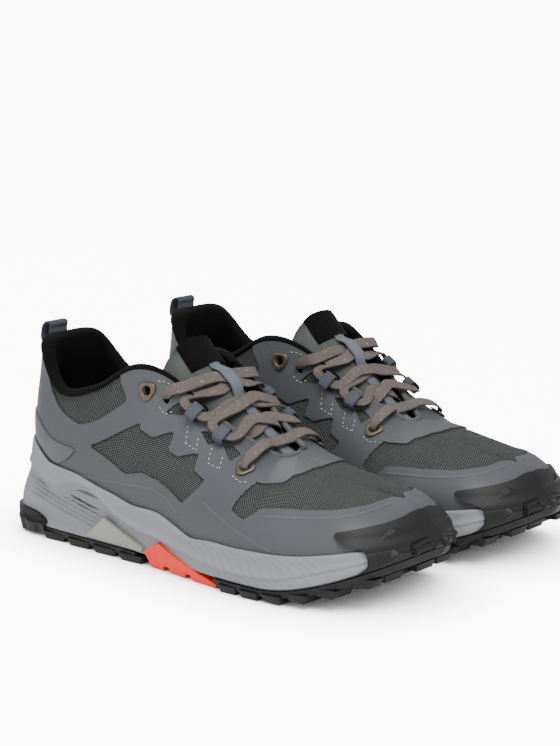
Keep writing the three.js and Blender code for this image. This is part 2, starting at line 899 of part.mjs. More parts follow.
// A flat ring of webbing, through which the lace runs along the edge of the throat.
function laceLoop(u, v) {
  const outer = new THREE.Shape();
  const halfWide = loopInside / 2 + webbingThickness;
  const tall = loopHeight + 2 * webbingThickness;
  outer.moveTo(-halfWide + 0.8, 0);
  outer.lineTo(halfWide - 0.8, 0);
  outer.quadraticCurveTo(halfWide, 0, halfWide, 0.8);
  outer.lineTo(halfWide, tall - 0.8);
  outer.quadraticCurveTo(halfWide, tall, halfWide - 0.8, tall);
  outer.lineTo(-halfWide + 0.8, tall);
  outer.quadraticCurveTo(-halfWide, tall, -halfWide, tall - 0.8);
  outer.lineTo(-halfWide, 0.8);
  outer.quadraticCurveTo(-halfWide, 0, -halfWide + 0.8, 0);
  const inner = new THREE.Path();
  inner.moveTo(-loopInside / 2, webbingThickness);
  inner.lineTo(-loopInside / 2, webbingThickness + loopHeight);
  inner.lineTo(loopInside / 2, webbingThickness + loopHeight);
  inner.lineTo(loopInside / 2, webbingThickness);
  inner.closePath();
  outer.holes.push(inner);
  const ring = new THREE.ExtrudeGeometry(outer, {
    depth: loopWidth,
    bevelEnabled: false,
    curveSegments: 2,
  });
  ring.translate(0, 0, -loopWidth / 2);
  ring.applyMatrix4(
    new THREE.Matrix4().makeBasis(
      new THREE.Vector3(0, 1, 0),
      new THREE.Vector3(0, 0, 1),
      new THREE.Vector3(1, 0, 0),
    ),
  );
  return ring.applyMatrix4(frameAt(u, v, filmTop + 4 * gap));
}

function tubeAlong(curve, radius, steps, sides) {
  const circle = new THREE.Shape().absarc(0, 0, radius, 0, 2 * Math.PI, false);
  const points = circle.getSpacedPoints(sides).slice(0, sides);
  return new THREE.ExtrudeGeometry(new THREE.Shape(points), {
    steps,
    bevelEnabled: false,
    extrudePath: curve,
  });
}

function throatPiping() {
  const edge = (u) => lifted(u, rows, -0.3).addScaledVector(upAt(u), pipingRadius + 2.5 * gap);
  const bottom = gridPoint(ridgeStart, rows, -0.4);
  bottom.y -= pipingRadius + 11 * gap;
  bottom.z += 3 * gap;
  const path = [lastOpen - 1.5, lastOpen - 1, lastOpen].map(edge);
  const back = [-lastOpen, 1 - lastOpen, 1.5 - lastOpen].map(edge);
  path.at(-1).y -= 1.4;
  back[0].y -= 1.4;
  const curve = new THREE.CatmullRomCurve3([...path, bottom, ...back], false, "catmullrom", 0.5);
  return tubeAlong(curve, pipingRadius, 22, 6);
}

// ---- tongue ----

const tongueKnots = [
  at(-1, 70, 51.5),
  at(-1.8, 66, 57.5),
  at(-1.6, 60, 69),
  at(-1.2, 55.5, 78.5),
  at(-0.6, 52.6, 85.5),
  at(0, 48, 95.5),
  at(0, 44.9, 103.5),
  at(0, 42.3, 110.5),
];
const tongueCurve = new THREE.CatmullRomCurve3(tongueKnots, false, "catmullrom", 0.5);
const tongueWidths = [0.1, 0.13, 0.175, 0.2, 0.205, 0.195, 0.165, 0.06];
const tongueArch = 0.1 * heelHeight; // how far the sides drop at full width

function tongueHalfWidth(t) {
  const place = t * (tongueWidths.length - 1);
  const i = Math.min(Math.floor(place), tongueWidths.length - 2);
  return mix(tongueWidths[i], tongueWidths[i + 1], place - i) * ballWidth;
}

// A point on the tongue: t up its length, x across it, lift out of its surface.
function onTongue(t, x, lift) {
  const centre = tongueCurve.getPoint(t);
  const travel = tongueCurve.getTangent(t);
  const out = travel.clone().cross(new THREE.Vector3(1, 0, 0)).normalize();
  const bend = x / (0.2 * ballWidth);
  const slope = (2 * tongueArch * bend) / (0.2 * ballWidth);
  const normal = out.clone().add(new THREE.Vector3(slope, 0, 0)).normalize();
  centre.x += x;
  return centre.addScaledVector(out, -tongueArch * bend * bend).addScaledVector(normal, lift);
}

// A strip of the tongue's surface between two lifts.
function tongueStrip(from, to, steps, halfWidth, low, high, columns) {
  const sections = [];
  for (let i = 0; i <= steps; i++) {
    const t = mix(from, to, i / steps);
    const half = halfWidth(t);
    const top = [];
    const under = [];
    for (let j = 0; j <= columns; j++) {
      const x = mix(-half, half, j / columns);
      top.push(onTongue(t, x, typeof high === "function" ? high(t) : high));
      under.push(onTongue(t, x, typeof low === "function" ? low(t) : low));
    }
    sections.push([...under, ...top.reverse()]);
  }
  return swept(sections);
}

const tongue = () => tongueStrip(0, 1, 11, tongueHalfWidth, -tongueThickness, 0, 6);

const tongueLabel = () =>
  tongueStrip(
    0.76,
    0.97,
    4,
    (t) => Math.min(0.13 * ballWidth, tongueHalfWidth(t) - 2),
    1.5 * gap,
    1.5 * gap + labelThickness,
    6,
  );

const topCrossing = 0.64;
const keeperLift = (t) => {
  const over = 1 - smooth(Math.abs(t - topCrossing), 0.03, 0.1);
  return gap + over * (2 * laceThickness + 3 * gap);
};

const tongueKeeper = () =>
  tongueStrip(
    0.17,
    0.745,
    17,
    () => keeperWidth / 2,
    keeperLift,
    (t) => keeperLift(t) + keeperThickness,
    2,
  );

// ---- lace ----

// One flat lace: each stop is [place, outward direction, width, thickness].
function laceStops() {
  const overKeeper = 2.5 * gap + keeperThickness + laceThickness / 2;
  const crest = (t, x, lift) => {
    const place = onTongue(t, x, lift);
    return [place, place.clone().sub(onTongue(t, x, lift - 1)), laceWidth, laceThickness];
  };
  const onEdge = (u, v, lift, bunch = 0) => {
    const place = onPattern(u, v, lift);
    const out = place.clone().sub(onPattern(u, v, lift - 1));
    return [place, out, laceWidth * (1 - bunch), laceThickness * (1 + bunch / 2)];
  };
  // In a hole the lace is bunched and its flat side faces along the upper.
  const inHole = (u, v, lift) => {
    const place = onPattern(u, v, lift);
    const down = onPattern(u, v - 0.2, lift).sub(place).normalize();
    return [place, down, 0.55 * laceWidth, 1.35 * laceThickness];
  };
  const inLoop = filmTop + 4 * gap + webbingThickness + loopHeight / 2;
  const through = (side, [u, v]) => [
    onEdge(side * (u + 0.62), v + 0.45, inLoop + 0.3, 0.5),
    onEdge(side * (u + 0.34), v + 0.05, inLoop, 0.5),
    onEdge(side * (u - 0.34), v + 0.05, inLoop, 0.5),
    onEdge(side * (u - 0.6), v + 0.45, inLoop + 2, 0.45),
  ];
  const [, hole, low] = holePlaces;
  const [loopOne, loopTwo] = loopPlaces;
  // From a tail inside one side, out of its hole and down to the opposite side of the throat.
  const strand = (side, level) => {
    const raise = level * (laceThickness + gap);
    return [
      onEdge(side * (hole[0] - 1.2), hole[1] - 2.4, -9),
      onEdge(side * (hole[0] - 0.5), hole[1] - 1, -9.5),
      inHole(side * hole[0], hole[1], -6.5),
      inHole(side * hole[0], hole[1], -2),
      inHole(side * hole[0], hole[1], 3),
      onEdge(side * (hole[0] + 0.3), hole[1] + 0.45, 5.8, 0.4),
      onEdge(side * (hole[0] + 0.75), 7, 6.4, 0.2),
      crest(topCrossing + 0.01, side * 9, gap + laceThickness / 2 + raise),
      crest(topCrossing, 0, gap + laceThickness / 2 + raise),
      crest(topCrossing - 0.01, -side * 9, gap + laceThickness / 2 + raise),
      ...through(-side, loopOne).reverse(),
      crest(0.475, -side * 8, overKeeper + raise),
      crest(0.465, 0, overKeeper + raise),
      crest(0.455, side * 8, overKeeper + raise),
      ...through(side, loopTwo).reverse(),
      crest(0.335, side * 7, overKeeper + gap + raise),
      crest(0.32, 0, overKeeper + raise),
      crest(0.3, -side * 8, overKeeper - gap + raise),
    ];
  };
  const dive = (side) => [
    onEdge(side * (low[0] - 0.6), 7, -4.6),
    onEdge(side * (low[0] - 0.15), low[1] + 0.7, -5),
    inHole(side * low[0], low[1], -3),
    inHole(side * low[0], low[1], 3.7),
    onEdge(side * (low[0] + 0.1), low[1] + 0.75, 5.9),
    onEdge(side * (low[0] + 0.2), 6.9, 5.4),
  ];
  const bar = [
    crest(0.215, -7, overKeeper + 2),
    crest(0.21, 0, overKeeper + 2),
    crest(0.215, 7, overKeeper + 2),
  ];
  return [
    ...strand(1, 1),
    ...dive(-1),
    ...bar,
    ...dive(1).reverse(),
    ...strand(-1, 0).reverse(),
  ];
}

function lace() {
  const stops = laceStops();
  const path = new THREE.CatmullRomCurve3(stops.map(([place]) => place), false, "centripetal");
  const last = stops.length - 1;
  const sides = stops.map(([, out], i) => out.clone().cross(path.getTangent(i / last)).normalize());
  for (let i = 1; i <= last; i++) if (sides[i].dot(sides[i - 1]) < 0) sides[i].negate();
  const perStop = 2;
  const sections = [];
  for (let i = 0; i <= last * perStop; i++) {
    const t = i / (last * perStop);
    const here = Math.min(Math.floor(i / perStop), last - 1);
    const blend = i / perStop - here;
    const half = mix(stops[here][2], stops[here + 1][2], blend) / 2;
    const deep = mix(stops[here][3], stops[here + 1][3], blend) / 2;
    const centre = path.getPoint(t);
    const travel = path.getTangent(t);
    const side = sides[here].clone().lerp(sides[here + 1], blend);
    side.addScaledVector(travel, -side.dot(travel)).normalize();
    const normal = travel.clone().cross(side).normalize();
    sections.push(
      [[-half, -deep], [half, -deep], [half, deep], [-half, deep]].map(([a, b]) =>
        centre.clone().addScaledVector(side, a).addScaledVector(normal, b),
      ),
    );
  }
  return swept(sections);
}

// ---- pull loop ----

// A closed loop of webbing standing behind the heel collar, its opening facing the two sides.
function pullLoop() {
  const outline = sideView([
    [3.3, 91],
    [4.05, 91],
    [4.2, 97],
    [4.25, 104.2],
    [5, 105.6],
    [4.6, 107.8],
    [3, 108],
    [1.75, 105.6],
    [1.4, 98.5],
  ]);
  const inside = sideView([
    [3.35, 95.5],
    [3.75, 97],
    [3.8, 104.6],
    [4.1, 105.8],
    [3.7, 106.8],
    [3, 106.8],
    [2.2, 105],
    [1.85, 99],
  ]);
  const outer = solidOf(across(outline, -pullWidth / 2, pullWidth / 2));
  const inner = solidOf(across(inside, -pullWidth, pullWidth));
  return geometryOf(outer.subtract(inner));
}

// ---- colours and assembly ----

const paint = (color, roughness, metalness = 0) =>
  new THREE.MeshStandardMaterial({ color, roughness, metalness });

const film = paint(0x73787d, 0.6);
const mesh = paint(0x4f5552, 0.9);
const foam = paint(0xa0a3a8, 0.75);
const shankPlastic = paint(0xa5a8a5, 0.6);
const orange = paint(0xeb5a46, 0.65);
const rubber = paint(0x303034, 0.8);
const lining = paint(0x19191c, 0.95);
const laceCloth = paint(0x968a85, 0.9);
const webbing = paint(0x5f6776, 0.9);
const paleWebbing = paint(0x969da8, 0.9);
const bronze = paint(0x7d6e5a, 0.4, 0.8);
const pipingCloth = paint(0x878c84, 0.9);
const labelCloth = paint(0x282828, 0.9);
const board = paint(0xb8b4a8, 0.9);

const pieces = {
  outsole_heel: [outsoleHeel(), rubber],
  outsole_forefoot: [outsoleForefoot(), rubber],
  midsole: [midsole(), foam],
  shank_plate: [shankPlate(), shankPlastic],
  midfoot_lug: [midfootLug(), orange],
  strobel_board: [strobelBoard(), board],
  insole: [insole(), lining],
  upper_shell: [punched(upperShell()), mesh],
  heel_counter: [heelCounter(), board],
  collar_lining: [punched(collarLining()), lining],
  quarter_film_outer: [quarterFilm(1), film],
  quarter_film_inner: [quarterFilm(-1), film],
  toe_film: [toeFilm(), film],
  vamp_film: [vampFilm(), film],
  heel_clip: [heelClip(), film],
  throat_piping: [throatPiping(), pipingCloth],
  tongue: [tongue(), mesh],
  tongue_label: [tongueLabel(), labelCloth],
  tongue_keeper: [tongueKeeper(), paleWebbing],
  lace: [lace(), laceCloth],
  lace_loop_top_outer: [laceLoop(...loopPlaces[0]), webbing],
  lace_loop_low_outer: [laceLoop(...loopPlaces[1]), webbing],
  lace_loop_top_inner: [laceLoop(-loopPlaces[0][0], loopPlaces[0][1]), webbing],
  lace_loop_low_inner: [laceLoop(-loopPlaces[1][0], loopPlaces[1][1]), webbing],
  eyelet_top_outer: [eyelet(...holePlaces[0]), bronze],
  eyelet_low_outer: [eyelet(...holePlaces[2]), bronze],
  eyelet_top_inner: [eyelet(-holePlaces[0][0], holePlaces[0][1]), bronze],
  eyelet_low_inner: [eyelet(-holePlaces[2][0], holePlaces[2][1]), bronze],
  pull_loop: [pullLoop(), webbing],
};

function shoe(name) {
  const whole = new THREE.Group();
  for (const [piece, [geometry, material]] of Object.entries(pieces)) {
    const part = new THREE.Mesh(geometry, material);
    part.name = `${name}_${piece}`;
    whole.add(part);
  }
  whole.rotation.z = Math.PI;
  return whole;
}

const bounds = new THREE.Box3();
for (const [geometry] of Object.values(pieces)) {
  geometry.computeBoundingBox();
  bounds.union(geometry.boundingBox);
}
const middle = (bounds.min.y + bounds.max.y) / 2;

const right = shoe("right");
right.position.set(-shoeSpacing / 2, middle, 0);
const left = new THREE.Group();
const leftShoe = shoe("left");
leftShoe.position.set(-shoeSpacing / 2, middle, 0);
left.scale.x = -1;
left.add(leftShoe);

const pair = new THREE.Group();
pair.add(right, left);

export default pair;
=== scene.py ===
import math
import bmesh
import bpy
import numpy as np
from mathutils import Matrix, Vector


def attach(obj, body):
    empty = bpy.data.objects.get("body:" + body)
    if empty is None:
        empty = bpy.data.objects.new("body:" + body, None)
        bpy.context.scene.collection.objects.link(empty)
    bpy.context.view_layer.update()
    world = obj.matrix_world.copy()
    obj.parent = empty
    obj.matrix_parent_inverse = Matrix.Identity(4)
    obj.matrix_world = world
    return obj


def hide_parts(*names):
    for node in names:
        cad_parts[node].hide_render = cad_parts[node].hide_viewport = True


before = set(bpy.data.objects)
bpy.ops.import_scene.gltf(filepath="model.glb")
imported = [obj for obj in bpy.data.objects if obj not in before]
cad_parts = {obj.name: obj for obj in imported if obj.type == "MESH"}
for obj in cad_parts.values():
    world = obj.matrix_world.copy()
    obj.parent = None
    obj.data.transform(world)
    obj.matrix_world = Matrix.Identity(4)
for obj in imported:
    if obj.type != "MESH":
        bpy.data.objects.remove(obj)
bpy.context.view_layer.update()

# Shoe measures in millimetres: x to the outer side, y from heel to toe, z up.
shoe = {"length": 306.0, "width": 115.0, "height": 121.0, "spacing": 122.0, "middle": 153.485}
stepsAround = 28  # stations of the sole's outline
halfWay = 14
throatEnd = 10
crestStart = 11
lengthPart, heightPart = shoe["length"] / 100, shoe["height"] / 100
sides = {"right": Matrix.Diagonal((-1, -1, 1, 1)), "left": Matrix.Diagonal((1, -1, 1, 1))}


def mix(a, b, t):
    return a + (b - a) * t


def smooth(x, low, high):
    t = min(max((x - low) / (high - low), 0.0), 1.0)
    return t * t * (3 - 2 * t)


def at(x, y, z=0.0):
    return Vector((x * shoe["width"] / 100, y * shoe["length"] / 100, z * shoe["height"] / 100))


class Spline:
    def __init__(self, knots, closed=False, even=True):
        self.knots = [Vector(k) for k in knots]
        self.closed = closed
        self.even = even

    def at(self, t):
        k = self.knots
        n = len(k)
        p = t * n if self.closed else t * (n - 1)
        if self.closed:
            i = math.floor(p)
            w = p - i
            a, b, c, d = (k[(i + j) % n] for j in (-1, 0, 1, 2))
        else:
            i = min(max(math.floor(p), 0), n - 2)
            w = p - i
            b, c = k[i], k[i + 1]
            a = k[i - 1] if i > 0 else 2 * b - c
            d = k[i + 2] if i + 2 < n else 2 * c - b
        if self.even:
            s, e = (c - a) / 2, (d - b) / 2
        else:
            u = max((b - a).length ** 0.5, 1e-4)
            v = max((c - b).length ** 0.5, 1e-4)
            x = max((d - c).length ** 0.5, 1e-4)
            s = ((b - a) / u - (c - a) / (u + v) + (c - b) / v) * v
            e = ((c - b) / v - (d - b) / (v + x) + (d - c) / x) * v
        return b + s * w + (3 * (c - b) - 2 * s - e) * w * w + (2 * (b - c) + s + e) * w ** 3

    def along(self, t, step=1e-3):
        low, high = (t - step, t + step) if self.closed else (max(t - step, 0), min(t + step, 1))
        return (self.at(high) - self.at(low)).normalized()


soleLine = Spline([at(*p) for p in (
    (0, 0), (29, 3.2), (34.5, 12.5), (37.5, 24), (40.5, 38), (45, 50), (50, 61), (52.2, 72), (49.5, 84),
    (35, 95), (-4, 100), (-38, 94), (-47.5, 83), (-47.8, 71), (-43, 59), (-37, 49), (-33.5, 38),
    (-33.5, 24), (-33, 12.5), (-28, 3.2))], closed=True)
biteLine = Spline([at(*p) for p in (
    (0, 3.3, 51.5), (23.5, 6.9, 49.5), (33, 14, 42), (38.3, 23.9, 37.5), (39.2, 36.6, 31.5),
    (41, 47.7, 26.5), (45.2, 58.2, 21.5), (48, 70, 22.3), (46, 81.7, 24), (34, 92.8, 29),
    (-3.5, 98.4, 31), (-36, 92.2, 29), (-44, 80, 24), (-43.5, 68.6, 22.3), (-39.1, 58.2, 21.5),
    (-34, 47.7, 26.5), (-32, 36.6, 31.5), (-33, 23.9, 37.5), (-31.3, 14, 42), (-22.6, 6.9, 49.5))],
    closed=True)
rimLine = Spline([at(*p) for p in (
    (-10.5, 67.2, 60), (-19, 56.8, 73.5), (-24.5, 45.7, 93), (-30.5, 37, 97.5), (-30.5, 26.2, 83.5),
    (-29, 15.4, 79), (-22, 7.8, 98.5), (0, 5.2, 100), (21, 7.8, 98.5), (29.5, 15.4, 78.5),
    (32, 26.2, 83), (32, 37.2, 97.5), (26, 45.2, 93.4), (20.5, 56.2, 73), (8.5, 66.5, 58))])
crestLine = Spline([at(*p) for p in (
    (-1.5, 67.8, 58.5), (-2, 75.8, 54.5), (-2.5, 82.5, 51), (-3, 89.4, 48.2))])
tongueLine = Spline([at(*p) for p in (
    (-1, 70, 51.5), (-1.8, 66, 57.5), (-1.6, 60, 69), (-1.2, 55.5, 78.5), (-0.6, 52.6, 85.5),
    (0, 48, 95.5), (0, 44.9, 103.5), (0, 42.3, 110.5))])
tongueWidths = (0.13, 0.15, 0.18, 0.2, 0.225, 0.25, 0.25, 0.06)


def ground(y):
    a = y / shoe["length"]
    toe = 0.2 * shoe["height"] * max(0.0, (a - 0.74) / 0.26) ** 1.7
    return 0.026 * shoe["height"] * (1 - smooth(a, 0, 0.09)) + toe


def boardHeight(y):
    a = y / shoe["length"]
    return shoe["height"] * (mix(0.185, 0.125, smooth(a, 0.3, 0.68)) + 0.12 * smooth(a, 0.78, 1))


def outward(k):
    t = soleLine.along(k / stepsAround)
    return Vector((t.y, -t.x, 0)).normalized()


def topAt(s):
    a = abs(s)
    if a <= throatEnd:
        return rimLine.at((s + throatEnd) / (2 * throatEnd))
    if a >= crestStart:
        return crestLine.at(min((a - crestStart) / (halfWay - crestStart), 1))
    return rimLine.at(1 if s > 0 else 0).lerp(crestLine.at(0), a - throatEnd)


columns = {}


def column(k):
    key = round(k, 4)
    if key not in columns:
        bite, top, out = biteLine.at(k / stepsAround), topAt(k), outward(k)
        lean = smooth(abs(k) / halfWay, 0.4, 0.76)
        rise = top.z - bite.z
        tuck = bite - out * 0.045 * shoe["width"]
        tuck.z = boardHeight(bite.y)
        low = bite + out * mix(2.5, 0.5, lean)
        low.z += rise * mix(0.33, 0.62, lean)
        share = mix(0.12, 0.5, lean)
        high = top + Vector(((bite.x - top.x) * share, (bite.y - top.y) * share, 0))
        high.z -= rise * mix(0.33, 0.03, lean)
        columns[key] = (tuck, bite, low, high, top)
    return columns[key]


def bare(k, v):
    tuck, bite, low, high, top = column(k)
    if v <= 1:
        return tuck.lerp(bite, v)
    t = (v - 1) / 6
    r = 1 - t
    return bite * r ** 3 + low * (3 * r * r * t) + high * (3 * r * t * t) + top * t ** 3


def station(u):
    a = abs(u)
    k = a * throatEnd / 14 if a <= 14 else throatEnd + (a - 14) * (halfWay - throatEnd) / 6
    return math.copysign(k, u)


# Patterns count 20 steps from heel to toe, and 7 rows from the board to the top line.
def onPattern(u, v, lift=0.0):
    k = station(max(min(u, 20), -20))
    v = min(max(v, 0), 7)
    here = bare(k, v)
    if not lift:
        return here
    q = 0.04
    across = bare(min(k + q, halfWay), v) - bare(max(k - q, -halfWay), v)
    v0, v1 = (v, v + 0.05) if v < 1 else (max(v - 0.05, 1.0), min(v + 0.05, 7))
    if v > 6.9:
        v0, v1 = 6.6, 6.9
    normal = across.cross(bare(k, v1) - bare(k, v0)).normalized()
    if abs(k) > crestStart and v > 5.4:  # the two halves of the vamp share the crest's normal
        a, b = bare(k, v), bare(k, 6.7)
        other = bare(-k, 6.7)
        travel = crestLine.along(min(max((abs(k) - crestStart) / 3, 0), 1))
        crest = travel.cross(other - b if k > 0 else b - other)
        crest = crest.normalized() if crest.z > 0 else -crest.normalized()
        normal = normal.lerp(crest, smooth(v, 5.4, 7)).normalized()
    return here + normal * lift


def frameOn(u, v, lift=0.0):
    origin = onPattern(u, v, lift)
    out = (onPattern(u, v, lift + 1) - origin).normalized()
    edge = onPattern(u + 0.3, v, lift) - onPattern(u - 0.3, v, lift)
    edge = (edge - out * edge.dot(out)).normalized()
    return origin, edge, out.cross(edge), out


class Wire:
    def __init__(self, look, socket):
        self.look = look
        self.socket = socket

    def math(self, operation, *values):
        return self.look.node("ShaderNodeMath", {"operation": operation},
                              {0: self, **{i + 1: v for i, v in enumerate(values)}})

    def __add__(self, other):
        return self.math("ADD", other)

    def __sub__(self, other):
        return self.math("SUBTRACT", other)

    def __mul__(self, other):
        return self.math("MULTIPLY", other)

    def __truediv__(self, other):
        return self.math("DIVIDE", other)

    def __rsub__(self, other):
        return self.look.node("ShaderNodeMath", {"operation": "SUBTRACT"}, {0: other, 1: self})

    def fract(self):
        return self.math("FRACT")

    def floor(self):
        return self.math("FLOOR")

    def absolute(self):
        return self.math("ABSOLUTE")

    def wave(self):
        return (self * (2 * math.pi)).math("SINE") * 0.5 + 0.5

    def ramp(self, low, high):
        return self.look.node("ShaderNodeMapRange", {"interpolation_type": "SMOOTHSTEP"},
                              {"Value": self, "From Min": low, "From Max": high})


class Look:
    def __init__(self, name, roughness=0.6, metallic=0.0, specular=0.35):
        self.material = bpy.data.materials.new(name)
        self.material.use_nodes = True
        self.tree = self.material.node_tree
        self.shader = self.tree.nodes["Principled BSDF"]
        self.set("Roughness", roughness)
        self.set("Metallic", metallic)
        self.set("Specular IOR Level", specular)

    def set(self, name, value):
        if isinstance(value, Wire):
            self.tree.links.new(value.socket, self.shader.inputs[name])
        else:
            self.shader.inputs[name].default_value = value

    def node(self, kind, settings=None, values=None, output=0):
        made = self.tree.nodes.new(kind)
        for name, value in (settings or {}).items():
            setattr(made, name, value)
        for name, value in (values or {}).items():
            if isinstance(value, Wire):
                self.tree.links.new(value.socket, made.inputs[name])
            else:
                made.inputs[name].default_value = value
        return Wire(self, made.outputs[output])

    def weave(self):
        mapped = self.node("ShaderNodeUVMap", {"uv_map": "weave"})
        split = self.node("ShaderNodeSeparateXYZ", None, {0: mapped})
        return split, Wire(self, split.socket.node.outputs["Y"])

    def noise(self, scale, detail):
        spot = self.node("ShaderNodeTexCoord", output="Object")
        return self.node("ShaderNodeTexNoise", None, {"Scale": scale, "Detail": detail, "Vector": spot})

    def blend(self, factor, first, second):
        made = self.tree.nodes.new("ShaderNodeMix")
        made.data_type = "RGBA"
        self.tree.links.new(factor.socket, made.inputs[0])
        for place, value in ((6, first), (7, second)):
            if isinstance(value, Wire):
                self.tree.links.new(value.socket, made.inputs[place])
            else:
                made.inputs[place].default_value = (*value, 1)
        return Wire(self, made.outputs[2])

    def bump(self, height, distance):
        return self.node("ShaderNodeBump", None,
                         {"Height": height, "Distance": distance / 1000, "Strength": 1.0})


colours = {
    "film": (0.063, 0.067, 0.074), "filmPale": (0.084, 0.09, 0.097), "mesh": (0.125, 0.142, 0.132),
    "gap": (0.004, 0.0045, 0.0045), "lining": (0.0022, 0.0022, 0.0026), "foam": (0.235, 0.24, 0.258),
    "shank": (0.28, 0.29, 0.25), "orange": (0.88, 0.032, 0.011), "rubber": (0.006, 0.006, 0.007),
    "lace": (0.15, 0.122, 0.112), "webbing": (0.085, 0.095, 0.12), "keeper": (0.19, 0.21, 0.25),
    "bronze": (0.13, 0.1, 0.075), "piping": (0.12, 0.13, 0.115), "label": (0.002, 0.002, 0.0022),
    "tongue": (0.13, 0.142, 0.134), "thread": (0.42, 0.43, 0.43), "line": (0.078, 0.084, 0.091),
}


def shade(colour, by):
    return tuple(c * by for c in colour)


def openMeshLook():
    look = Look("openMesh", 0.85, specular=0.2)
    x, y = look.weave()
    row = (y / 0.8).floor()
    along = ((x + row * 0.5) / 1.7).fract()
    across = (y / 0.8).fract()
    thread = along.ramp(0.08, 0.2) * (1 - along.ramp(0.74, 0.88))
    thread = thread * across.ramp(0.08, 0.3) * (1 - across.ramp(0.66, 0.92))
    drift = look.noise(60, 3)
    body = look.blend(drift, shade(colours["mesh"], 0.85), shade(colours["mesh"], 1.2))
    look.set("Base Color", look.blend(thread, colours["gap"], body))
    look.set("Normal", look.bump(thread, 0.5))
    return look.material


def filmLook():
    look = Look("weldedFilm", 0.5, specular=0.42)
    grain = look.noise(1500, 3)
    cloudy = look.noise(35, 4)
    look.set("Base Color", look.blend(cloudy, shade(colours["film"], 0.9), shade(colours["film"], 1.1)))
    look.set("Roughness", cloudy * 0.14 + 0.42)
    look.set("Normal", look.bump(grain, 0.09))
    return look.material


def plainFilm(name, colour, roughness=0.5):
    look = Look(name, roughness, specular=0.4)
    grain = look.noise(1600, 3)
    cloudy = look.noise(70, 3)
    look.set("Base Color", look.blend(cloudy, shade(colour, 0.88), shade(colour, 1.1)))
    look.set("Normal", look.bump(grain, 0.07))
    return look.material


def ribbed(name, colour, period, slant, depth, contrast=0.55, cross=0.0):
    look = Look(name, 0.9, specular=0.15)
    x, y = look.weave()
    rib = ((x + y * slant) / period).wave()
    if cross:
        rib = rib * 0.6 + (y / cross).wave() * 0.4
    drift = look.noise(90, 3)
    body = look.blend(drift, shade(colour, 0.85), shade(colour, 1.15))
    look.set("Base Color", look.blend(rib, shade(colour, contrast), body))
    look.set("Normal", look.bump(rib + look.noise(1400, 2) * 0.3, depth))
    return look.material


def herringbone(name, colour):
    look = Look(name, 0.8, specular=0.25)
    x, y = look.weave()
    fold = ((x / 4.0).fract() - 0.5).absolute() * 4.0
    rib = ((y + fold) / 1.15).wave()
    look.set("Base Color", look.blend(rib, shade(colour, 0.55), shade(colour, 1.12)))
    look.set("Normal", look.bump(rib, 0.3))
    return look.material


def laceLook():
    look = Look("lace", 0.85, specular=0.2)
    x, y = look.weave()
    rib = (x / 1.15).wave()
    pick = ((y + (x / 1.15).floor() * 0.9) / 1.5).wave()
    fleck = look.node("ShaderNodeTexNoise", {"noise_dimensions": "2D"},
                      {"Vector": look.node("ShaderNodeUVMap", {"uv_map": "weave"}), "Scale": 0.45})
    fleck = fleck.ramp(0.66, 0.72) * pick * 0.35
    body = look.blend(rib * 0.6 + pick * 0.4, shade(colours["lace"], 0.6), shade(colours["lace"], 1.15))
    look.set("Base Color", look.blend(fleck, body, (0.6, 0.58, 0.56)))
    look.set("Normal", look.bump(rib * 0.7 + pick * 0.3, 0.35))
    return look.material


def mouldedLook(name, colour, roughness, grain, depth, metallic=0.0):
    look = Look(name, roughness, metallic)
    speck = look.noise(grain, 3)
    cloudy = look.noise(25, 4)
    look.set("Base Color", look.blend(cloudy, shade(colour, 0.9), shade(colour, 1.08)))
    look.set("Roughness", speck * 0.15 + (roughness - 0.07))
    look.set("Normal", look.bump(speck, depth))
    return look.material


looks = {
    "openMesh": openMeshLook(), "film": filmLook(), "filmPale": plainFilm("paleFilm", colours["filmPale"]),
    "line": plainFilm("embossedLine", colours["line"]),
    "lining": ribbed("collarCloth", colours["lining"], 1.9, 0.8, 0.35, 0.5),
    "tongue": ribbed("tongueCloth", colours["tongue"], 1.3, 0.3, 0.3, 0.3, cross=1.1),
    "webbing": herringbone("loopWebbing", colours["webbing"]),
    "keeper": herringbone("keeperWebbing", colours["keeper"]),
    "lace": laceLook(), "label": ribbed("labelCloth", colours["label"], 0.8, 0.0, 0.12, 0.7),
    "piping": ribbed("pipingCloth", colours["piping"], 1.0, 0.5, 0.2, 0.6),
    "foam": mouldedLook("midsoleFoam", colours["foam"], 0.7, 900, 0.12),
    "shank": mouldedLook("shankPlastic", colours["shank"], 0.55, 1400, 0.1),
    "orange": mouldedLook("orangeRubber", colours["orange"], 0.5, 1200, 0.08),
    "rubber": mouldedLook("blackRubber", colours["rubber"], 0.55, 1000, 0.1),
    "bronze": mouldedLook("bronze", colours["bronze"], 0.42, 1500, 0.05, 0.75),
    "thread": plainFilm("stitchThread", colours["thread"], 0.8),
    "footbed": ribbed("footbedCloth", colours["lining"], 1.3, 0.3, 0.2),
}
print("materials made")


def mapped(columnsCount, rowsCount, place, size=(1.0, 1.0)):
    bm = bmesh.new()
    weave = bm.loops.layers.uv.new("weave")
    bmesh.ops.create_grid(bm, x_segments=columnsCount, y_segments=rowsCount, size=0.5)
    spots = {v: (v.co.x, v.co.y) for v in bm.verts}
    lowX, highX = min(s[0] for s in spots.values()), max(s[0] for s in spots.values())
    lowY, highY = min(s[1] for s in spots.values()), max(s[1] for s in spots.values())
    spots = {v: ((x - lowX) / (highX - lowX), (y - lowY) / (highY - lowY))
             for v, (x, y) in spots.items()}
    for face in bm.faces:
        for loop in face.loops:
            a, b = spots[loop.vert]
            loop[weave].uv = (a * size[0], b * size[1])
    for vert, (a, b) in spots.items():
        vert.co = place(a, b)
    bmesh.ops.remove_doubles(bm, verts=bm.verts, dist=0.01)
    return bm


def closeEnds(bm):
    rim = [e for e in bm.edges if e.is_boundary]
    made = bmesh.ops.holes_fill(bm, edges=rim, sides=0)["faces"]
    bmesh.ops.triangulate(bm, faces=made)
    bmesh.ops.recalc_face_normals(bm, faces=bm.faces)
    return bm


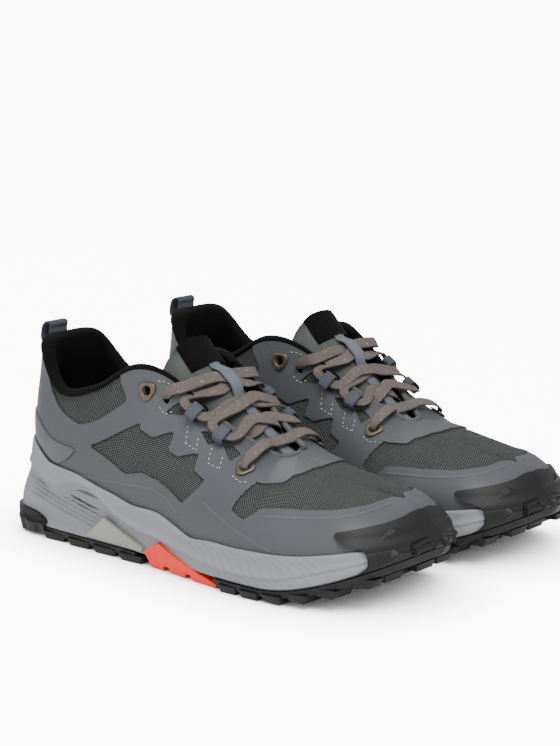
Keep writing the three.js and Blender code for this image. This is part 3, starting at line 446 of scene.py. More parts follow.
# Along the length becomes the weave's second axis.
def turnWeave(bm):
    weave = bm.loops.layers.uv[0]
    for face in bm.faces:
        for loop in face.loops:
            loop[weave].uv = (loop[weave].uv.y, loop[weave].uv.x)


def swept(steps, section, frameFor, width, length, closed=False):
    count = len(section)

    def place(a, b):
        centre, side, normal = frameFor(a % 1 if closed else a)
        x, y = section[round(b * count) % count]
        return centre + side * x + normal * y

    bm = mapped(steps, count, place, (length, width * 2 + 3))
    turnWeave(bm)
    if not closed:
        closeEnds(bm)
    else:
        bmesh.ops.recalc_face_normals(bm, faces=bm.faces)
    return bm


def flatSection(width, thickness, corner=4):
    half, deep = width / 2, thickness / 2
    points = []
    for turn in range(4):
        cx = (half - deep) * (1 if turn in (0, 3) else -1)
        start = (0, 90, 180, 270)[turn]
        for i in range(corner + 1):
            angle = math.radians(start + 90 * i / corner)
            points.append((cx + math.cos(angle) * deep, math.sin(angle) * deep))
    clean = [p for i, p in enumerate(points) if math.dist(p, points[i - 1]) > 1e-4]
    wide = []
    for i, p in enumerate(clean):
        q = clean[(i + 1) % len(clean)]
        wide.append(p)
        if abs(q[0] - p[0]) > width * 0.4:
            wide += [(mix(p[0], q[0], j / 5), mix(p[1], q[1], j / 5)) for j in range(1, 5)]
    return wide


def joined(parts):
    bm = bmesh.new()
    bm.loops.layers.uv.new("weave")
    for part in parts:
        mesh = bpy.data.meshes.new("part")
        part.to_mesh(mesh)
        part.free()
        bm.from_mesh(mesh)
        bpy.data.meshes.remove(mesh)
    return bm


def finishPiece(bm, name, look, nodes, body="shoe", sharp=50):
    for side, turn in sides.items():
        copy = bm.copy()
        reach = shoe["spacing"] / 2 * (-1 if side == "right" else 1)
        move = Matrix.Translation((reach, shoe["middle"], 0)) @ turn
        copy.transform(Matrix.Scale(0.001, 4) @ move)
        if side == "left":
            bmesh.ops.reverse_faces(copy, faces=copy.faces)
        mesh = bpy.data.meshes.new(f"{side}_{name}")
        copy.to_mesh(mesh)
        copy.free()
        for polygon in mesh.polygons:
            polygon.use_smooth = True
        mesh.set_sharp_from_angle(angle=math.radians(sharp))
        piece = bpy.data.objects.new(f"{side}_{name}", mesh)
        bpy.context.scene.collection.objects.link(piece)
        mesh.materials.append(looks[look])
        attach(piece, f"{side}_{body}")
        if nodes:
            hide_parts(*[f"{side}_{node}" for node in nodes])
    bm.free()
    print("made", name)


scaleU, scaleV = 19.0, 10.0  # about how many millimetres one step and one row are


def rounded(outline, times=2, share=0.22):
    points = [tuple(p) for p in outline]
    for _ in range(times):
        cut = []
        for i, p in enumerate(points):
            q = points[(i + 1) % len(points)]
            cut.append((mix(p[0], q[0], share), mix(p[1], q[1], share)))
            cut.append((mix(p[0], q[0], 1 - share), mix(p[1], q[1], 1 - share)))
        points = cut
    return points


# Signed distance of many points to an outline, above nought inside, and the nearest point on it.
def distances(points, outline, stretch):
    line = np.array(outline) * stretch
    spots = points * stretch
    best = np.full(len(spots), 1e9)
    nearest = np.zeros_like(spots)
    inside = np.zeros(len(spots), bool)
    for i in range(len(line)):
        a, b = line[i - 1], line[i]
        run = b - a
        t = np.clip(((spots - a) @ run) / max(run @ run, 1e-12), 0, 1)
        foot = a + t[:, None] * run
        gone = np.hypot(*(spots - foot).T)
        closer = gone < best
        best[closer] = gone[closer]
        nearest[closer] = foot[closer]
        cross = (a[1] > spots[:, 1]) != (b[1] > spots[:, 1])
        with np.errstate(divide="ignore", invalid="ignore"):
            edge = (b[0] - a[0]) * (spots[:, 1] - a[1]) / (b[1] - a[1]) + a[0]
        inside ^= cross & (spots[:, 0] < edge)
    return np.where(inside, best, -best), nearest / stretch


# A sheet of fine cells, cut to outlines: its edge points are drawn onto the outline.
def cutSheet(spanU, spanV, cells, place, keep, remove, stretch, thickness):
    bm = bmesh.new()
    weave = bm.loops.layers.uv.new("weave")
    bmesh.ops.create_grid(bm, x_segments=cells[0], y_segments=cells[1], size=0.5)
    bm.verts.ensure_lookup_table()
    flat = np.array([v.co.xy for v in bm.verts])
    flat = (flat - flat.min(0)) / (flat.max(0) - flat.min(0))
    flat = flat * [spanU[1] - spanU[0], spanV[1] - spanV[0]] + [spanU[0], spanV[0]]
    stretch = np.array(stretch)
    depth = np.full(len(flat), 1e9)
    target = flat.copy()
    inKeep = np.full(len(flat), -1e9)
    keepTarget = flat.copy()
    for outline in keep:
        far, foot = distances(flat, outline, stretch)
        better = far > inKeep
        inKeep[better] = far[better]
        keepTarget[better] = foot[better]
    if keep:
        depth, target = inKeep, keepTarget
    for outline in remove:
        far, foot = distances(flat, outline, stretch)
        nearer = -far < depth
        depth = np.where(nearer, -far, depth)
        target[nearer] = foot[nearer]
    cell = max((spanU[1] - spanU[0]) / cells[0] * stretch[0],
               (spanV[1] - spanV[0]) / cells[1] * stretch[1])
    near = np.abs(depth) < cell * 0.52
    flat[near] = target[near]
    depth[near] = 0
    for i, vert in enumerate(bm.verts):
        vert.co = (flat[i][0], flat[i][1], 0)
    gone = [f for f in bm.faces if min(depth[v.index] for v in f.verts) < -1e-6]
    bmesh.ops.delete(bm, geom=gone, context="FACES")
    bmesh.ops.dissolve_degenerate(bm, dist=1e-4, edges=bm.edges)
    for face in bm.faces:
        for loop in face.loops:
            loop[weave].uv = (loop.vert.co.x * stretch[0], loop.vert.co.y * stretch[1])
    thicken(bm, place, thickness)
    return bm


# Puts a flat sheet's points in place and gives it its underside.
def thicken(bm, place, thickness):
    under = bm.verts.layers.float_vector.new("under")
    for vert in bm.verts:
        a, b = vert.co.xy
        top, low = place(a, b, 0.0), place(a, b, -thickness)
        vert[under] = low
        vert.co = top
    bmesh.ops.remove_doubles(bm, verts=bm.verts, dist=0.02)
    bmesh.ops.dissolve_degenerate(bm, dist=1e-3, edges=bm.edges[:])
    made = bmesh.ops.extrude_face_region(bm, geom=bm.faces[:], use_keep_orig=True)["geom"]
    for item in made:
        if isinstance(item, bmesh.types.BMVert):
            item.co = item[under]
    bmesh.ops.recalc_face_normals(bm, faces=bm.faces)


def opposite(outline):
    return [(-u, v) for u, v in reversed(outline)]


def circle(u, v, radius):
    return [(u + math.cos(a) * radius / scaleU, v + math.sin(a) * radius / scaleV)
            for a in (i * math.pi / 10 for i in range(20))]


windows = {
    "rear": [(2.9, 7.4), (7.3, 7.4), (7.35, 6.6), (7.75, 5.53), (6.6, 4.95), (5.54, 4.61), (4.5, 5.4),
             (3.45, 6.35)],
    "quarter": [(6.24, 3.33), (7.4, 4.05), (8.54, 4.63), (8.49, 4.34), (9.19, 4.06), (10.27, 4.63), (10, 3.75),
                (10.5, 3.68), (11.42, 4.43), (11.33, 3.59), (11.73, 3.47), (11.93, 3.48), (11.4, 2.7),
                (10.82, 2), (9.59, 2.42), (8.68, 2.53), (7.85, 2.21)],
    "loopOne": [(9.66, 5.12), (10.86, 6.76), (11.01, 6.42), (10.5, 5.5)],
    "loopTwo": [(11.31, 5.49), (11.6, 5.8), (11.91, 5.47), (11.7, 5.1)],
    "lowEyelet": [(12.22, 5.53), (12.5, 5.9), (12.91, 5.63), (12.64, 4.83)],
    "vamp": [(13.11, 2.63), (13.5, 3.7), (13.82, 4.54), (15.1, 4.65), (15.9, 5.6), (16.87, 7.4), (20.6, 7.4),
             (20.6, 5.45), (19.44, 5.4), (18.33, 4.21), (17.25, 3.63), (15.87, 3.25), (14.3, 3.11),
             (13.65, 2.34)],
}
holePlaces = [(8.72, 6.0), (9.75, 5.95), (13.2, 4.9)]
loopPlaces = [(11.05, 6.15), (12.1, 5.95)]
filmTop = 1.2


def punches(radius):
    return [circle(s * u, v, radius) for u, v in holePlaces for s in (1, -1)]


def makeShell():
    bm = cutSheet((-20, 20), (0, 7), (400, 56), onPattern, [], punches(3.0), (scaleU, scaleV), 1.4)
    finishPiece(bm, "meshShell", "openMesh", ["upper_shell", "strobel_board"], sharp=75)


def makeInnerLining():
    bm = cutSheet((-20, 20), (0.1, 6.7), (240, 34), lambda u, v, drop: onPattern(u, v, drop - 1.7),
                  [], punches(3.2), (scaleU, scaleV), 0.7)
    finishPiece(bm, "innerLining", "lining", ["heel_counter"], sharp=75)


def makeFilm():
    remove = [rounded(w, 1, 0.1) for w in windows.values()]
    remove += [rounded(opposite(w), 1, 0.1) for w in windows.values()]
    remove += punches(3.0)
    keep = [[(-20.5, 0.6), (20.5, 0.6), (20.5, 7.4), (-20.5, 7.4)]]
    bm = cutSheet((-20, 20), (0.4, 7.0), (620, 96), lambda u, v, drop: onPattern(u, v, filmTop + drop),
                  keep, remove, (scaleU, scaleV), 0.9)
    finishPiece(bm, "filmOverlay", "film",
                ["quarter_film_outer", "quarter_film_inner", "toe_film", "vamp_film"], sharp=75)


def ribbon(points, width, thickness, lift, count):
    line = Spline([(u, v, 0) for u, v in points])

    def frameFor(t):
        here = line.at(t)
        origin = onPattern(here.x, here.y, lift)
        out = (onPattern(here.x, here.y, lift + 1) - origin).normalized()
        ahead, back = line.at(min(t + 0.01, 1)), line.at(max(t - 0.01, 0))
        travel = (onPattern(ahead.x, ahead.y, lift) - onPattern(back.x, back.y, lift)).normalized()
        return origin, out.cross(travel).normalized(), out

    return swept(count, flatSection(width, thickness, 2), frameFor, width, count * 2.0)


raisedLines = [
    [(14.37, 2.71), (15.93, 2.84), (17.27, 3.17), (18.28, 3.71), (19.2, 4.6)],
    [(11.93, 2.52), (13.4, 1.8), (14.88, 1.15)],
    [(6.0, 1.25), (7.8, 1.75), (9.4, 2.0), (10.6, 1.55)],
]


def makeLines():
    parts = []
    for line in raisedLines:
        for way in (1, -1):
            parts.append(ribbon([(way * u, v) for u, v in line], 1.6, 0.5, filmTop - 0.02, 40))
    finishPiece(joined(parts), "filmLines", "line", [])


def makeHeelPatch():
    outline = rounded([(0.2, 1.6), (0.69, 2.25), (1.6, 2.9), (3.4, 3.05), (5.4, 2.98), (5.66, 2.8), (5.2, 1.9),
                       (4.53, 1.25), (3.13, 1.5), (1.5, 1.4)])
    bm = cutSheet((-6, 6), (1, 3.4), (220, 50), lambda u, v, drop: onPattern(u, v, filmTop + 0.9 + drop),
                  [outline, opposite(outline)], [], (scaleU, scaleV), 0.9)
    finishPiece(bm, "heelPatch", "filmPale", ["heel_clip"], sharp=40)


def makeCollar():
    reach = 7.0

    def section(k):
        fade = smooth(abs(k), reach - 3, reach)
        pad, roll = mix(5.2, 1.4, fade), mix(3.4, 1.6, fade)
        inner = -2.2
        u = k * 1.4
        up = (onPattern(u, 7) - onPattern(u, 6)).normalized()
        rim = onPattern(u, 7)
        out = (onPattern(u, 7, 1) - rim).normalized()
        return [onPattern(u, 4.0, inner), onPattern(u, 5.5, inner), rim + out * inner + up * 0.4,
                rim + out * (filmTop - 0.2) + up * 0.3, rim + out * (filmTop + 0.3) + up * 0.55 * roll,
                rim - out * 0.8 + up * roll, rim + out * (inner - 0.55 * pad) + up * roll * 0.7,
                rim + out * (inner - pad) - up * 1.2, onPattern(u, 5.5, inner - 1.0 * pad),
                onPattern(u, 4.0, inner - 0.5 * pad), onPattern(u, 2.6, inner - 0.8), onPattern(u, 2.6, inner)]

    lines = {}

    def place(a, b):
        k = round(mix(-reach, reach, a), 4)
        if k not in lines:
            lines[k] = Spline(section(k), closed=True)
        return lines[k].at(b)

    bm = closeEnds(mapped(180, 60, place, (360, 90)))
    finishPiece(bm, "collarLining", "lining", ["collar_lining"])


def makeBinding():
    def frameFor(t):
        u = mix(-11.4, 11.4, t)
        rim = onPattern(u, 7)
        out = (onPattern(u, 7, 1) - rim).normalized()
        up = (rim - onPattern(u, 6.4)).normalized()
        return rim + out * 0.2 + up * 0.2, out, up

    bm = swept(260, flatSection(3.6, 3.2, 4), frameFor, 3.6, 420)
    finishPiece(bm, "rimBinding", "lining", [])


def makePiping():
    def edge(u):
        up = (onPattern(u, 7) - onPattern(u, 6.6)).normalized()
        return onPattern(u, 7, 0.2) + up * 1.4
    knots = [edge(u) for u in (11.6, 12.4, 13.2, 13.9)]
    bottom = onPattern(15.5, 7, 0.4) - Vector((0, 1.6, -0.6))
    knots += [bottom + Vector((9.2, -4.2, -0.6)), bottom + Vector((5.6, -0.9, -0.1)), bottom]
    knots += [bottom + Vector((-5.6, -0.9, -0.1)), bottom + Vector((-9.2, -4.2, -0.6))]
    knots += [edge(u) for u in (-13.9, -13.2, -12.4, -11.6)]
    line = Spline(knots, even=False)

    def frameFor(t):
        travel = line.along(t, 0.004)
        side = travel.cross(Vector((0, 0, 1))).normalized()
        return line.at(t), side, side.cross(travel).normalized()

    ring = [(math.cos(a) * 1.85, math.sin(a) * 1.85) for a in (i * math.pi / 7 for i in range(14))]
    finishPiece(swept(110, ring, frameFor, 4, 120), "throatPiping", "piping", ["throat_piping"])


def tongueHalf(t):
    if t > 0.72:  # the rounded top
        return 0.25 * shoe["width"] * max(1 - ((t - 0.72) / 0.29) ** 2.6, 0.03) ** 0.5
    place = t * (len(tongueWidths) - 1)
    i = min(int(place), len(tongueWidths) - 2)
    return mix(tongueWidths[i], tongueWidths[i + 1], place - i) * shoe["width"]


def onTongue(t, x, lift=0.0):
    centre = tongueLine.at(t)
    travel = tongueLine.along(t)
    out = travel.cross(Vector((1, 0, 0))).normalized()
    bend = x / (0.2 * shoe["width"])
    arch = 0.1 * shoe["height"]
    normal = (out + Vector((2 * arch * bend / (0.2 * shoe["width"]), 0, 0))).normalized()
    return centre + Vector((x, 0, 0)) - out * arch * bend * bend + normal * lift


def tongueStrip(low, high, steps, half, bottom, top, width):
    section = flatSection(2.0, 0.6, 3)

    def frameless(a, b):
        t = mix(low, high, a)
        x, y = section[round(b * len(section)) % len(section)]
        lift = mix(bottom(t), top(t), 0.5 + y / 0.6)
        return onTongue(t, x * half(t), lift)

    bm = mapped(steps, len(section), frameless, (tongueLength * (high - low), width * 5.2))
    turnWeave(bm)
    return closeEnds(bm)


tongueLength = 150.0


def tongueRise(t):
    return 4.2 * (1 - smooth(t, 0.04, 0.2))


def makeTongue():
    bm = tongueStrip(0, 1, 90, tongueHalf, lambda t: -4.6 + tongueRise(t), tongueRise, 46)
    finishPiece(bm, "tongue", "tongue", ["tongue"])


def makeLabel():
    def half(t):
        return min(0.135 * shoe["width"], tongueHalf(t) - 0.5)

    bm = tongueStrip(0.755, 0.992, 36, half, lambda t: -0.1, lambda t: 1.3, 30)
    finishPiece(bm, "tongueLabel", "label", ["tongue_label"])


laceSize = {"width": 7.9, "thickness": 1.15}
cord = {"width": 6.6, "thickness": 1.6}  # the lace the stops are spaced for
crossing = 0.64


def keeperLift(t):
    over = 1 - smooth(abs(t - crossing), 0.03, 0.1)
    return 0.3 + over * (2 * cord["thickness"] + 0.9)


def makeKeeper():
    bm = tongueStrip(0.03, 0.76, 100, lambda t: 4.5, lambda t: keeperLift(t) + tongueRise(t),
                     lambda t: keeperLift(t) + tongueRise(t) + 0.95, 9)
    finishPiece(bm, "laceKeeper", "keeper", ["tongue_keeper"])


def laceStops():
    gap, thick, wide = 0.3, cord["thickness"], cord["width"]
    over = 2.5 * gap + 0.8 + thick / 2

    def crest(t, x, lift):
        place = onTongue(t, x, lift)
        return place, place - onTongue(t, x, lift - 1), wide, thick

    def onEdge(u, v, lift, bunch=0.0):
        bunch *= 0.35
        place = onPattern(u, v, lift)
        return place, place - onPattern(u, v, lift - 1), wide * (1 - bunch), thick * (1 + bunch / 2)

    def inHole(u, v, lift):
        place = onPattern(u, v, lift)
        return place, (onPattern(u, v - 0.2, lift) - place).normalized(), 0.6 * wide, 1.35 * thick

    inLoop = filmTop + 4 * gap + 1.2 + (thick + 2.8) / 2

    def through(side, spot):
        u, v = spot
        return [onEdge(side * (u + 0.4), v + 0.2, inLoop + 0.3, 0.7),
                onEdge(side * u, v, inLoop, 1.0),
                onEdge(side * (u - 0.4), v + 0.2, inLoop + 0.8, 0.7)]

    hole, low = holePlaces[1], holePlaces[2]

    def strand(side, level):
        up = level * (thick + gap)
        return [onEdge(side * (hole[0] - 1.2), hole[1] - 2.4, -9),
                onEdge(side * (hole[0] - 0.5), hole[1] - 1, -9.5),
                inHole(side * hole[0], hole[1], -6.5), inHole(side * hole[0], hole[1], -2),
                inHole(side * hole[0], hole[1], 3),
                onEdge(side * (hole[0] + 0.3), hole[1] + 0.45, 5.8, 0.4),
                onEdge(side * (hole[0] + 0.75), 7, 6.4, 0.2),
                crest(crossing + 0.03, side * 8, gap + thick / 2 + up),
                crest(crossing, 0, gap + thick / 2 + up),
                crest(crossing - 0.03, -side * 8, gap + thick / 2 + up),
                *reversed(through(-side, loopPlaces[0])),
                crest(0.487, -side * 8, over + up), crest(0.465, 0, over + up),
                crest(0.443, side * 8, over + up),
                *reversed(through(side, loopPlaces[1])),
                crest(0.342, side * 7, over + gap + up), crest(0.32, 0, over + up),
                crest(0.295, -side * 8, over - gap + up)]

    def dive(side):
        return [onEdge(side * (low[0] - 0.6), 7, -4.6),
                onEdge(side * (low[0] - 0.15), low[1] + 0.7, -5),
                inHole(side * low[0], low[1], -3), inHole(side * low[0], low[1], 3.7),
                onEdge(side * (low[0] + 0.1), low[1] + 0.75, 5.9),
                onEdge(side * (low[0] + 0.2), 6.9, 5.4)]

    bar = [crest(0.215, -7, over + 2), crest(0.21, 0, over + 2), crest(0.215, 7, over + 2)]
    return [*strand(1, 1), *dive(-1), *bar, *reversed(dive(1)), *reversed(strand(-1, 0))]


def makeLace():
    stops = laceStops()
    last = len(stops) - 1
    line = Spline([s[0] for s in stops], even=False)
    across = [stops[i][1].cross(line.along(i / last)).normalized() for i in range(last + 1)]
    for i in range(1, last + 1):
        if across[i].dot(across[i - 1]) < 0:
            across[i].negate()
    section = flatSection(1.0, laceSize["thickness"] / laceSize["width"], 3)
    length = sum((line.at((i + 1) / 600) - line.at(i / 600)).length for i in range(600))
    print("lace length", round(length))

    def place(a, b):
        p = a * last
        i = min(int(p), last - 1)
        w = p - i
        wide = mix(stops[i][2], stops[i + 1][2], smooth(w, 0, 1)) * laceSize["width"] / cord["width"]
        thick = mix(stops[i][3], stops[i + 1][3], smooth(w, 0, 1)) / cord["thickness"]
        travel = line.along(a, 0.0015)
        side = across[i].lerp(across[i + 1], w)
        side = (side - travel * side.dot(travel)).normalized()
        normal = travel.cross(side).normalized()
        x, y = section[round(b * len(section)) % len(section)]
        return line.at(a) + side * x * wide + normal * y * laceSize["width"] * thick

    bm = mapped(900, len(section), place, (length, 34))
    turnWeave(bm)
    finishPiece(closeEnds(bm), "lace", "lace", ["lace"])


loopSize = {"inside": 8.2, "height": 4.4, "webbing": 1.3, "width": 7.4}


def makeLoops():
    for (u, v), node in zip(loopPlaces, ("lace_loop_top", "lace_loop_low")):
        for way, end in ((1, "outer"), (-1, "inner")):
            origin, edge, up, out = frameOn(way * u, v, filmTop + 1.2)
            half, tall = loopSize["inside"] / 2 + 0.65, loopSize["height"] + 1.3
            corners = [(-half + 1, 0.6), (-half, 1.6), (-half, tall - 1.2), (-half + 1.4, tall),
                       (half - 1.4, tall), (half, tall - 1.2), (half, 1.6), (half - 1, 0.6), (0, 0.3)]
            line = Spline([(a, b, 0) for a, b in corners], closed=True)

            def frameFor(t):
                here, way2 = line.at(t), line.along(t)
                place = origin + up * here.x + out * here.y
                normal = up * way2.y - out * way2.x
                return place, edge, normal.normalized()

            bm = swept(48, flatSection(loopSize["width"], loopSize["webbing"], 2), frameFor,
                       loopSize["width"], 40, closed=True)
            finishPiece(bm, f"{node}_{end}_webbing", "webbing", [f"{node}_{end}"])


def makeEyelets():
    for (u, v), node in zip((holePlaces[0], holePlaces[2]), ("eyelet_top", "eyelet_low")):
        for way, end in ((1, "outer"), (-1, "inner")):
            origin, edge, up, out = frameOn(way * u, v, filmTop + 0.1)

            def place(a, b):
                turn = 2 * math.pi * a
                lobe = 5.7 + 0.7 * math.cos(3 * (turn + math.pi / 2))
                roll = 2 * math.pi * b
                mid, half = (lobe + 2.7) / 2, (lobe - 2.7) / 2
                r = mid + half * math.cos(roll)
                h = 0.75 + 0.75 * math.copysign(abs(math.sin(roll)) ** 0.7, math.sin(roll))
                return origin + edge * r * math.cos(turn) + up * r * math.sin(turn) + out * h

            bm = mapped(60, 16, place)
            bmesh.ops.recalc_face_normals(bm, faces=bm.faces)
            finishPiece(bm, f"{node}_{end}_ring", "bronze", [f"{node}_{end}"])


stitchSize = {"length": 1.9, "pitch": 3.1, "width": 0.7}


def stitchesOn(points, lift):
    line = Spline([(u, v, 0) for u, v in points])
    fine = [line.at(i / 200) for i in range(201)]
    places = [onPattern(p.x, p.y, lift) for p in fine]
    parts, run, due = [], 0.0, 0.6
    for i in range(200):
        run += (places[i + 1] - places[i]).length
        if run < due:
            continue
        due += stitchSize["pitch"]
        travel = (places[i + 1] - places[i]).normalized()
        out = (onPattern(fine[i].x, fine[i].y, lift + 1) - places[i]).normalized()
        side = out.cross(travel).normalized()
        bm = bmesh.new()
        bmesh.ops.create_icosphere(bm, subdivisions=1, radius=0.5)
        turn = Matrix((travel, side, out)).transposed().to_4x4()
        size = Matrix.Diagonal((stitchSize["length"], stitchSize["width"], 0.5, 1))
        bm.transform(Matrix.Translation(places[i]) @ turn @ size)
        parts.append(bm)
    return parts


def makeStitches():
    parts = []
    for way in (1, -1):
        for u, v in loopPlaces:
            box = [(u - 0.24, v - 0.9), (u - 0.24, v - 1.7), (u + 0.24, v - 1.7), (u + 0.24, v - 0.9)]
            for a, b in zip(box, box[1:]):
                parts += stitchesOn([(way * a[0], a[1]), (way * b[0], b[1])], filmTop + 0.35)
        for line in ([(9.3, 6.55), (9.5, 6.6), (9.75, 6.65), (10.0, 6.6), (10.2, 6.5)],
                     [(9.45, 5.4), (9.75, 5.2), (10.05, 5.4)], [(12.9, 4.2), (13.2, 4.05), (13.5, 4.2)]):
            parts += stitchesOn([(way * a, b) for a, b in line], filmTop + 0.35)
    finishPiece(joined(parts), "stitches", "thread", [])


def makePullLoop():
    middleLine = Spline([Vector((0, y * lengthPart, z * heightPart)) for y, z in (
        (3.72, 91.6), (3.85, 95.0), (4.0, 99.0), (4.08, 104.6), (4.3, 106.4), (3.9, 107.5), (3.1, 107.5),
        (2.2, 106.0), (1.75, 103.0), (1.6, 99.0), (2.3, 96.4), (3.1, 93.6), (3.4, 91.6))], closed=False)

    def frameFor(t):
        travel = middleLine.along(t, 0.004)
        side = Vector((1, 0, 0))
        return middleLine.at(t), side, side.cross(travel).normalized()

    bm = swept(90, flatSection(16, 1.5, 3), frameFor, 16, 60)
    finishPiece(bm, "pullLoopWebbing", "webbing", ["pull_loop"], body="pull_loop")


lipOut = 4.0
treadTop = 7.0


# The midsole's upper edge rises and falls a little along its length.
edgeWaves = ((13.5, 3.0, -1.4), (24.0, 4.5, 1.5), (38.5, 3.5, -1.2), (46.0, 3.5, 1.6),
             (55.5, 3.0, -1.3), (62.0, 4.0, 1.1))


def edgeWave(y):
    a = y / lengthPart
    return sum(size * math.exp(-((a - place) / reach) ** 2) for place, reach, size in edgeWaves)


def soleLevels(k, proud=0.0):
    base, out, bite = soleLine.at(k / stepsAround), outward(k), biteLine.at(k / stepsAround)
    floor = ground(base.y)
    wave = Vector((0, 0, edgeWave(bite.y)))
    lip = bite + out * (lipOut + proud) + wave

    def edge(inset, z):
        return Vector((*(base + out * (proud - inset)).xy, z))

    def wall(t, inset):
        spot = base.lerp(lip, smooth(t, 0.1, 1) * 0.9) + out * (proud - inset)
        return Vector((spot.x, spot.y, mix(floor + treadTop, lip.z, t)))

    return [edge(5, floor + treadTop - 0.4), edge(3.0, floor + treadTop), edge(0.6, floor + treadTop + 2),
            wall(0.32, 0), wall(0.68, 0.6), lip,
            bite + out * (lipOut * 0.5 + proud) + wave + Vector((0, 0, 0.9)),
            bite + out * (0.4 + proud) + wave]


levelCache = {}


def onSole(k, w, proud=0.0):
    key = (round(k, 4), proud)
    if key not in levelCache:
        levelCache[key] = Spline(soleLevels(k, proud))
    return levelCache[key].at(w)


# The flowing ridge along the side of the midsole, in hundredths of length and of height.
ridge = Spline([(*p, 0) for p in (
    (0, 40), (5, 39), (9, 36.8), (13.2, 32.4), (17.8, 31.4), (21.1, 34.6), (25.6, 35.9), (28.7, 33.6),
    (31.7, 28.3), (35.1, 23), (40.8, 18.8), (45.7, 17.6), (54, 14.5), (66, 12), (78, 13.5), (90, 22),
    (100, 30))])
ridgeSpots = [ridge.at(i / 600) for i in range(601)]
ridgeTable = ([p.x for p in ridgeSpots], [p.y for p in ridgeSpots])
carving = {"step": 2.2, "second": 1.8, "secondDrop": 4.2, "crest": 1.2, "groove": 1.5, "pitch": 2.75,
           "wrinkle": 0.2}


def sculpt(k, w):
    spot = onSole(k, w)
    if not 0.2 < w < 0.84:
        return spot
    a, h = spot.y / lengthPart, spot.z / heightPart
    below = float(np.interp(a, *ridgeTable)) - h
    fade = smooth(w, 0.22, 0.34) * (1 - smooth(w, 0.7, 0.8))
    heel = 1 - smooth(a, 42, 56) * 0.65
    move = carving["crest"] * math.exp(-(below / 1.6) ** 2) - carving["step"] * smooth(below, 0.2, 1.8)
    second = smooth(below, carving["secondDrop"], carving["secondDrop"] + 1.4)
    move -= carving["second"] * second * (1 - smooth(a, 30, 36))
    line = (h + 0.5 * a) / carving["pitch"]
    field = smooth(below, 6.2, 7.0) * (1 - smooth(a + 0.25 * h, 33, 35))
    field *= smooth(line, 8.1, 8.5) * (1 - smooth(line, 13.6, 14))
    move -= carving["groove"] * field * (0.5 + 0.5 * math.cos(2 * math.pi * line)) ** 2
    wrinkle = math.sin(a * 2.6 + h * 1.2 + 1.5 * math.sin(h * 0.6))
    wrinkle *= smooth(a, 52, 62) * (1 - smooth(a, 84, 94))
    return spot + outward(k) * (move * heel * smooth(a, 1.5, 9) + carving["wrinkle"] * wrinkle) * fade


def makeMidsole():
    def place(a, b):
        k = a * stepsAround
        if b > 0.9:
            bite = biteLine.at(a)
            out = outward(k)
            deep = (b - 0.9) / 0.1
            floor = Vector((*(bite - out * 6).xy, boardHeight(bite.y) - 1.8))
            return (bite + out * 0.4 + Vector((0, 0, edgeWave(bite.y)))).lerp(floor, deep)
        return sculpt(k, b / 0.9)

    bm = mapped(620, 130, place, (900, 90))
    closeEnds(bm)
    finishPiece(bm, "midsoleFoam", "foam", ["midsole"], sharp=60)


lug = {"height": 4.0, "tread": 2.7, "taper": 0.8, "bevel": 0.35, "share": 0.74, "proud": 0.6}
solePoints = [soleLine.at(i / 280) for i in range(281)]


def soleEdges(y):
    reach = [0.0, 0.0]
    for a, b in zip(solePoints, solePoints[1:]):
        if (a.y - y) * (b.y - y) > 0 or a.y == b.y:
            continue
        x = mix(a.x, b.x, (y - a.y) / (b.y - a.y))
        reach[1 if x > 0 else 0] = x
    return reach


def treadPiece(name, nodes, low, high, first, last, rows, perRow):
    levels = ((3.4, lug["height"] - 1.3), (1.4, lug["height"] - 0.6),
              (0.2, lug["height"] + lug["tread"] + 0.3))

    def place(a, b):
        inset, rise = levels[round(b * 2)]
        base = soleLine.at(a) - outward(a * stepsAround) * inset
        return Vector((base.x, base.y, ground(base.y) + rise))

    slab = closeEnds(mapped(300, 2, place, (900, 10)))
    for cut, sign in ((low, -1), (high, 1)):
        plane = Vector((0, cut * lengthPart, 0))
        bmesh.ops.bisect_plane(slab, geom=slab.verts[:] + slab.edges[:] + slab.faces[:], plane_co=plane,
                               plane_no=(0, sign, 0), clear_outer=True)
        closeEnds(slab)
    parts = [slab]
    step = (last - first) * lengthPart / (rows - 1)
    for row in range(rows):
        y = mix(first, last, row / (rows - 1)) * lengthPart
        inner, outer = soleEdges(y)
        pitch = (outer - inner + 2 * lug["proud"]) / (perRow - 1 + lug["share"])
        inner += lug["share"] / 2 * pitch - lug["proud"]
        for i in range(perRow):
            spot = (inner + i * pitch, y + ((i % 2) - 0.5) * step * 0.24)
            block = bmesh.new()
            bmesh.ops.create_cube(block, size=1)
            for vert in block.verts:
                grow = 1 if vert.co.z > 0 else lug["taper"]
                vert.co = (vert.co.x * pitch * lug["share"] * grow, vert.co.y * step * 0.84 * grow,
                           (vert.co.z + 0.5) * (lug["height"] + 0.8))
            bmesh.ops.bevel(block, geom=block.edges[:], offset=lug["bevel"], segments=2, profile=0.5,
                            affect="EDGES", material=-1)
            bmesh.ops.translate(block, verts=block.verts, vec=(spot[0], spot[1], ground(spot[1])))
            for vert in block.verts:
                vert.co.y = min(vert.co.y, 303)
                left, right = soleEdges(vert.co.y)
                vert.co.x = min(max(vert.co.x, left - lug["proud"]), right + lug["proud"])
            parts.append(block)
    finishPiece(joined(parts), name, "rubber", nodes, sharp=35)


def makeTreads():
    treadPiece("heelTread", ["outsole_heel"], -5, 39.5, 14, 37, 4, 4)
    treadPiece("forefootTread", ["outsole_forefoot"], 63, 99, 66, 93, 6, 4)


def nearEdge(u, s, outline):
    if not (min(p[0] for p in outline) - 0.2 < u < max(p[0] for p in outline) + 0.2):
        return -9.0
    if not (min(p[1] for p in outline) - 0.3 < s < max(p[1] for p in outline) + 0.3):
        return -9.0
    far, _ = distances(np.array([[u, s]]), outline, np.array([scaleU, scaleV]))
    return float(far[0])


